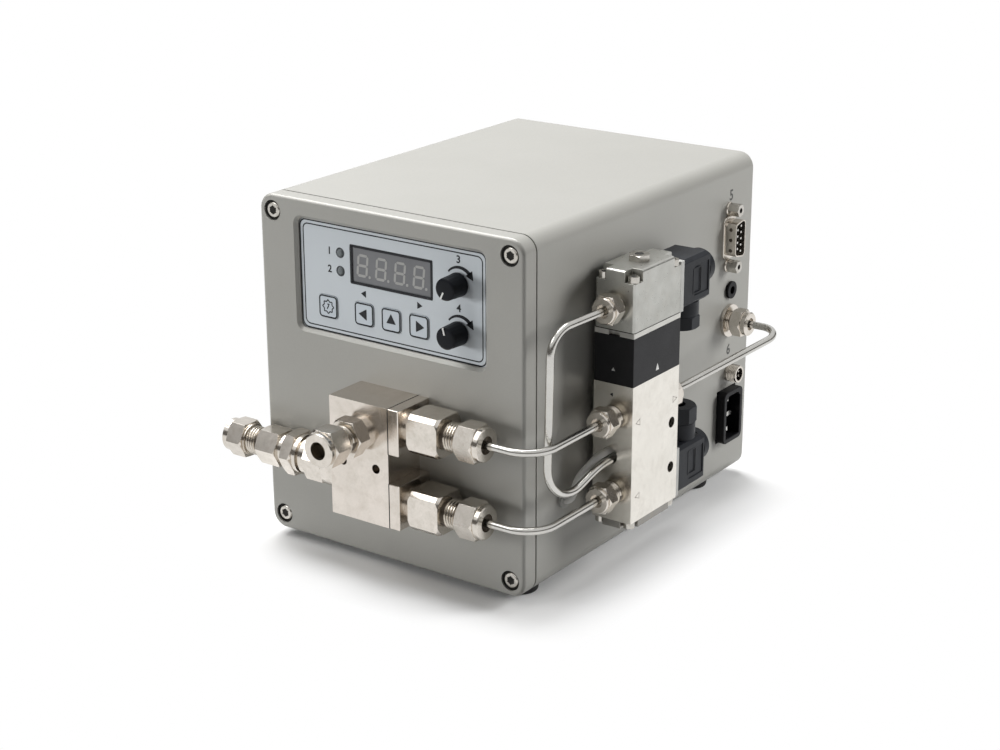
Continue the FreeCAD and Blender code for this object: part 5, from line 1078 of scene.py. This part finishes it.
    def dial_arcs(self) -> None:
        """Prints the curved arrow over each knob, thin on the left and thick at its head."""
        arcs = []
        for z in self.knob_rows.values():
            shape = bmesh.new()
            ends = [shape.verts.new((0.0, radius, 0.0)) for radius in (6.15, 6.85)]
            edge = shape.edges.new(ends)
            bmesh.ops.rotate(shape, verts=ends, matrix=Matrix.Rotation(math.radians(48), 3, "Z"))
            bmesh.ops.spin(shape, geom=ends + [edge], cent=(0, 0, 0), axis=(0, 0, 1),
                           angle=-math.radians(98), steps=28, use_merge=False)
            outer = [vert for vert in shape.verts if vert.co.length > 6.5]
            for vert in outer:
                swing = math.radians(138) - math.atan2(vert.co.y, vert.co.x)
                bmesh.ops.scale(shape, vec=(1.0 + 0.14 * swing / 1.7,) * 3, verts=[vert])
            head = self.triangle(2.3, 0.0)
            aim = math.radians(37)
            self.lay(head, Facing.UP, (6.95 * math.cos(aim), 6.95 * math.sin(aim), 0.0), -143.0)
            arc = self.thicken(self.join(shape, head), 0.08)
            arcs.append(self.lay(arc, Facing.FRONT, self.on_panel(self.knob_column, z)))
        self.hand_in("dial_arcs", self.join(*arcs), INK_AND_RIM_SHADE, slot="overlay")

    def labels(self) -> None:
        """Prints plain numerals where the real panel has words."""
        spots = {"1": (-30.6, self.lamp_rows[0]), "2": (-30.6, self.lamp_rows[1]),
                 "3": (self.knob_column, 132.3), "4": (self.knob_column, 113.0)}
        made = []
        for words, (x, z) in spots.items():
            sign = self.thicken(self.numeral(words, 3.0), 0.08)
            made.append(self.lay(sign, Facing.FRONT, self.on_panel(x, z)))
        self.hand_in("panel_numerals", self.join(*made), INK_AND_RIM_SHADE, slot="overlay")


@dataclass
class Manifold(Bench):
    """The steel block on the front with its side plates, fittings, nuts and threads."""

    soften: float = 0.08
    neck: float = 5.5
    pitch: float = 1.27
    ridge: float = 0.5
    seam: float = 0.34
    seam_side: float = 14.5
    block_front: float = -106.2
    block_middle: float = -96.3
    block_top: float = 74.8
    plate_spans: tuple[tuple[float, float], ...] = ((56.0, 74.8), (25.0, 43.8))
    necks: tuple[tuple[Spot, Axis, float], ...] = (
        ((36.6, -96.3, 65.7), Axis.X, 7.0), ((36.6, -96.3, 33.8), Axis.X, 7.0),
        ((0.0, -115.2, 62.1), Axis.FORWARD, 4.5), ((-58.5, -96.3, 41.7), Axis.LEFT, 7.0),
        ((-44.1, -96.3, 41.7), Axis.LEFT, 3.7))

    def build(self) -> None:
        """Builds the manifold."""
        self.renew("manifold_block", BLOCK_STEEL, 0.4, steps=3)
        self.renew("side_plates", BLOCK_STEEL, 0.4, steps=3)
        for node in ("outlet_bodies", "inlet_front_body", "tube_nuts", "left_adapter", "left_collar",
                     "left_fitting_body"):
            self.renew(node, NICKEL_X, self.soften)
        # The sleeves are painted shade inside the nuts' bores.
        self.renew("tube_sleeves", SLEEVE_SHADE_STEEL, 0.0)
        ridges = [self.thread(self.neck, self.pitch, length, spot, along, self.ridge)
                  for spot, along, length in self.necks]
        self.hand_in("manifold_threads", self.join(*ridges), THREAD_STEEL, slot="stainless",
                     crease=40.0)
        # The dark roots are painted shade between the thread's ridges.
        roots = [self.root(self.neck, length, spot, along) for spot, along, length in self.necks]
        self.hand_in("manifold_thread_root_shade", self.join(*roots), RECESS_SHADE_STEEL, slot="stainless")
        self.joints()

    def joints(self) -> None:
        """Draws the dark seams where the side plates meet the block."""
        seams = []
        for foot, top in self.plate_spans:
            line = self.thicken(self.flat(self.seam, top - foot), 0.2)
            spot = (self.seam_side, self.block_front - 0.03, (foot + top) / 2)
            seams.append(self.lay(line, Facing.FRONT, spot))
        line = self.thicken(self.flat(self.seam, 19.6), 0.2)
        spot = (self.seam_side, self.block_middle, self.block_top + 0.03)
        seams.append(self.lay(line, Facing.UP, spot))
        self.hand_in("manifold_seams", self.join(*seams), SEAM_AND_SHADE, slot="stainless")


@dataclass
class SwitchingValve(Bench):
    """The stacked valve on the right side with its small fittings, plugs and tubes."""

    across: float = 76.95
    front: float = -43.1
    side: float = 86.0
    tube_radius: float = 1.6
    port_rows: tuple[float, float] = (65.7, 33.8)
    frame_face: float = 85.57
    frame_rows: tuple[float, float] = (111.4, 33.4)
    frame_size: tuple[float, float] = (6.4, 10.8)
    neck: float = 4.6
    pitch: float = 1.27
    necks: tuple[tuple[float, float, Axis, float], ...] = (
        (-43.1, 65.7, Axis.FORWARD, 4.6), (-43.1, 33.8, Axis.FORWARD, 4.6),
        (-43.1, 111.2, Axis.FORWARD, 1.9), (-8.3, 63.0, Axis.Y, 4.6))

    def build(self) -> None:
        """Builds the valve."""
        self.renew("valve_body", VALVE_STEEL, 0.2)
        # The base plate is darkened as painted shade of its front face.
        self.renew("valve_base_plate", BASE_SHADE_STEEL, 0.3)
        self.renew("valve_spacer_block", BLACK_BLOCK, 0.25)
        self.renew("valve_gasket_strip", LIGHT_STRIP, 0.15)
        self.renew("valve_cap", CAST_STEEL, 0.5, steps=3)
        self.renew("valve_hex_plug", SCREW_STEEL, 0.25)
        self.renew("valve_screws", SCREW_STEEL, 0.12)
        self.dress(SCREW_STEEL, "valve_spool")
        self.renew("valve_port_connectors", NICKEL_X, 0.0)
        self.renew("valve_port_nuts", NICKEL_X, 0.06)
        self.dress(ALUMINIUM, "valve_spacers")
        self.renew("plug_housings", PLUG, 0.5, steps=3)
        self.renew("plug_glands", PLUG, 0.3)
        # The seals' pale tone is a painted highlight along their edges.
        self.renew("valve_seals", SEAL_HIGHLIGHT, 0.15)
        self.tubes()
        ridges = [self.thread(self.neck, self.pitch, length, (self.across, back, high), along, 0.45)
                  for back, high, along, length in self.necks]
        self.hand_in("valve_threads", self.join(*ridges), THREAD_STEEL, slot="stainless",
                     crease=40.0)
        # The dark roots are painted shade between the thread's ridges.
        roots = [self.root(self.neck, length, (self.across, back, high), along)
                 for back, high, along, length in self.necks]
        self.hand_in("valve_thread_root_shade", self.join(*roots), RECESS_SHADE_STEEL, slot="stainless")
        self.marks()
        self.frames()
        self.sockets()

    def frames(self) -> None:
        """Raises the bare moulded frame on the outer face of each plug."""
        rims = []
        for high in self.frame_rows:
            rim = self.thicken(self.outline(self.flat(*self.frame_size, 0.5, 3), 0.45), 0.3)
            rims.append(self.lay(rim, Facing.RIGHT, (self.frame_face, 5.0, high)))
        self.hand_in("plug_frames", self.join(*rims), PLUG, slot="plug_plastic")

    def sockets(self) -> None:
        """Paints shade into the key sockets of the screws and into the thin gap under the cap."""
        holes = []
        for across in (70.3, 83.6):
            hole = self.thicken(self.disc(1.15, 6), 0.3)
            holes.append(self.lay(hole, Facing.UP, (across, -40.3, 123.72)))
        hole = self.thicken(self.disc(1.9, 6), 0.3)
        holes.append(self.lay(hole, Facing.UP, (self.across, -25.7, 128.22)))
        self.hand_in("valve_key_socket_shade", self.join(*holes), SEAM_AND_SHADE, slot="steel_fasteners")
        # The dark ring under the cap is painted shade in the gap between the cap and the strip.
        gap = self.thicken(self.flat(18.16, 34.86, 1.0), 0.34)
        self.lay(gap, Facing.UP, (self.across, -25.7, 101.7))
        self.hand_in("cap_gap_shade", gap, SEAM_AND_SHADE, slot="stainless")

    def tubes(self) -> None:
        """Draws the steel tubes and the cable that link the valve with the rest."""
        outlets = []
        for high in self.port_rows:
            route = [(45.8, -96.3, high), (self.across, -96.3, high), (self.across, -47.9, high)]
            outlets.append(self.pipe(route, [13.0], self.tube_radius))
        self.hand_in("outlet_tubes_drawn", self.join(*outlets), TUBE_STEEL,
                     stands_for=("outlet_tubes",), slot="stainless")
        loop = self.pipe([(self.across, -45.2, 111.2), (76.85, -56.1, 111.2), (72.7, -80.5, 109.6),
                          (72.7, -83.0, 34.5), (76.55, -52.1, 47.9), (76.55, -36.1, 47.9)],
                         [30.0, 11.0, 13.7, 30.0], self.tube_radius)
        self.hand_in("tube_cap_drawn", loop, TUBE_STEEL, stands_for=("tube_cap",), slot="stainless")
        rear = self.pipe([(56.9, 69.0, 74.0), (92.5, 69.0, 74.0), (self.across, 12.0, 63.0),
                          (self.across, -3.5, 63.0)], [8.0, 20.0], self.tube_radius)
        self.hand_in("tube_rear_drawn", rear, TUBE_STEEL, stands_for=("tube_rear",), slot="stainless")
        # The cable's tone is pale grey raised by painted light.
        self.renew("valve_cable", CABLE_AND_PAINTED_LIGHT, 0.0, crease=50.0)

    def marks(self) -> None:
        """Marks the ports with plain triangles, printed on the black block and cut in the steel."""
        self.print_on("block_front_mark", WHITE_INK, Facing.FRONT, [
            (self.triangle(1.0, 0.0), (76.8, self.front - 0.02, 85.4))])
        self.print_on("block_side_mark", WHITE_INK, Facing.RIGHT, [
            (self.narrow(self.triangle(1.9, 0.0)), (self.side + 0.02, -25.2, 83.0))])
        self.print_on("body_front_mark", INK_AND_RIM_SHADE, Facing.FRONT, [
            (self.triangle(1.0, 90.0), (76.3, self.front - 0.02, 75.0))])
        rims = []
        for high, back, turn in ((64.0, -38.5, 90.0), (32.7, -38.0, 90.0), (65.8, -11.5, -90.0)):
            rim = self.outline(self.narrow(self.triangle(2.3, turn), turn), 0.28)
            rims.append((rim, (self.side + 0.02, back, high)))
        self.print_on("body_side_marks", ETCH, Facing.RIGHT, rims)

    def narrow(self, shape: bmesh.types.BMesh, turn: float = 0.0) -> bmesh.types.BMesh:
        """Makes a triangle slimmer across its tip."""
        slim = (1.0, 0.75, 1.0) if turn else (0.75, 1.0, 1.0)
        bmesh.ops.scale(shape, vec=slim, verts=shape.verts)
        return shape

    def print_on(self, name: str, ink: Finish, facing: Facing,
                 marks: list[tuple[bmesh.types.BMesh, Spot]]) -> None:
        """Lays thin marks on the valve.

        Args:
            name: The piece's name.
            ink: Its finish.
            facing: Which way the marks look.
            marks: Each flat mark with its spot.
        """
        laid = [self.lay(self.thicken(shape, 0.06), facing, spot) for shape, spot in marks]
        self.hand_in(name, self.join(*laid), ink, slot="stainless")


@dataclass
class SideSockets(Bench):
    """The sockets and the bulkhead fitting on the right side near the back."""

    connector_back: float = 66.4
    connector_high: float = 112.0
    connector_rim: float = 0.9
    screw_pitch: float = 24.99
    dimple_step: float = 4.6
    numeral_height: float = 4.6

    def build(self) -> None:
        """Builds the sockets."""
        self.connector()
        self.renew("dsub_jackscrews", SCREW_STEEL, 0.12)
        self.renew("socket_inserts", SOCKET_BLACK, 0.1)
        self.dress(PIN_STEEL, "contact_pins")
        self.renew("service_jack", SOCKET_BLACK, 0.2)
        self.renew("bulkhead_body", NICKEL_X, 0.12)
        self.renew("bulkhead_nut", NICKEL_X, 0.06)
        self.renew("washer_and_lock_nuts", NICKEL_X, 0.12)
        self.renew("signal_socket", NICKEL_X, 0.12)
        self.renew("power_inlet", SOCKET_BLACK, 0.35, steps=3)
        self.threads()
        self.labels()

    def connector(self) -> None:
        """Sets the nine-pin shell on a narrow rim, with a round seat under each of its screws."""
        shape = bmesh.new()
        shape.from_mesh(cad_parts["dsub_shell"].data)
        bmesh.ops.remove_doubles(shape, verts=shape.verts, dist=2e-6)
        cut = into_frame((SIDE_FACE + self.connector_rim - 0.05, 0.0, 0.0))
        everything = shape.verts[:] + shape.edges[:] + shape.faces[:]
        bmesh.ops.bisect_plane(shape, geom=everything, plane_co=cut, plane_no=(1.0, 0.0, 0.0),
                               clear_inner=True)
        bmesh.ops.bridge_loops(shape, edges=[edge for edge in shape.edges if edge.is_boundary])
        bmesh.ops.dissolve_limit(shape, angle_limit=math.radians(0.8), verts=shape.verts,
                                 edges=shape.edges)
        self.hand_in("dsub_shell_skin", shape, NICKEL_Y, stands_for=("dsub_shell",), placed=True)
        middle = (SIDE_FACE + self.connector_rim, self.connector_back, self.connector_high)
        rim = self.thicken(self.flat(10.4, 19.0, 3.2, 10), self.connector_rim)
        upper = [edge for edge in rim.edges if edge.calc_face_angle(0.0) > 1.0
                 and all(abs(vert.co.z) < 1e-6 for vert in edge.verts)]
        bmesh.ops.bevel(rim, geom=upper, offset=0.35, offset_type="OFFSET", segments=3, profile=0.5,
                        affect="EDGES", material=-1)
        pieces = [self.lay(rim, Facing.RIGHT, middle)]
        seat = [(0.0, 0.0), (0.0, 3.0), (0.5, 3.0), (0.86, 2.7), (0.86, 0.0)]
        for way in (-0.5, 0.5):
            high = self.connector_high + way * self.screw_pitch
            pieces.append(self.lathe(seat, (SIDE_FACE, self.connector_back, high), Axis.X, 32))
        self.hand_in("dsub_rim_and_seats", self.join(*pieces), NICKEL_Y, slot="nickel")
        web = self.thicken(self.flat(12.4, 30.9, 0.3, 2), 0.5)
        self.lay(web, Facing.RIGHT, (SIDE_FACE + 0.03, self.connector_back, self.connector_high))
        self.hand_in("dsub_wall_web", web, CASE, slot="case_paint")
        # The three dark discs are painted shade in the shell's dimples.
        dimples = [self.lay(self.thicken(self.disc(0.8, 24), 0.15), Facing.FRONT,
                            (68.5, self.connector_back - 4.24, self.connector_high + step))
                   for step in (-self.dimple_step, 0.0, self.dimple_step)]
        self.hand_in("dsub_dimple_shade", self.join(*dimples), RECESS_SHADE_STEEL, slot="nickel")

    def threads(self) -> None:
        """Winds the threads of the bulkhead fitting and the round signal socket."""
        first = self.thread(4.0, 0.8, 2.0, (66.4, 69.0, 74.0), Axis.X, 0.3)
        second = self.thread(3.75, 0.75, 5.0, (SIDE_FACE + 0.2, 71.0, 49.3), Axis.X, 0.2)
        self.hand_in("side_threads", self.join(first, second), THREAD_STEEL, slot="nickel",
                     crease=40.0)

    def labels(self) -> None:
        """Prints plain numerals by the sockets, where the real wall has words."""
        signs = [self.numeral(words, self.numeral_height) for words in ("5", "6")]
        spots = ((SIDE_FACE + 0.03, 68.0, 130.0), (SIDE_FACE + 0.03, 70.0, 60.0))
        laid = [self.lay(self.thicken(sign, 0.06), Facing.RIGHT, spot)
                for sign, spot in zip(signs, spots)]
        self.hand_in("side_numerals", self.join(*laid), SIDE_INK, slot="case_paint")


def main() -> None:
    """Builds the sub-assemblies in order."""
    logging.basicConfig(level=logging.INFO, format="%(message)s")
    for part in (Studio(), Housing(), ControlPanel(), Manifold(), SwitchingValve(), SideSockets()):
        log.info("building %s", type(part).__name__)
        part.build()


if __name__ == "__main__":
    main()
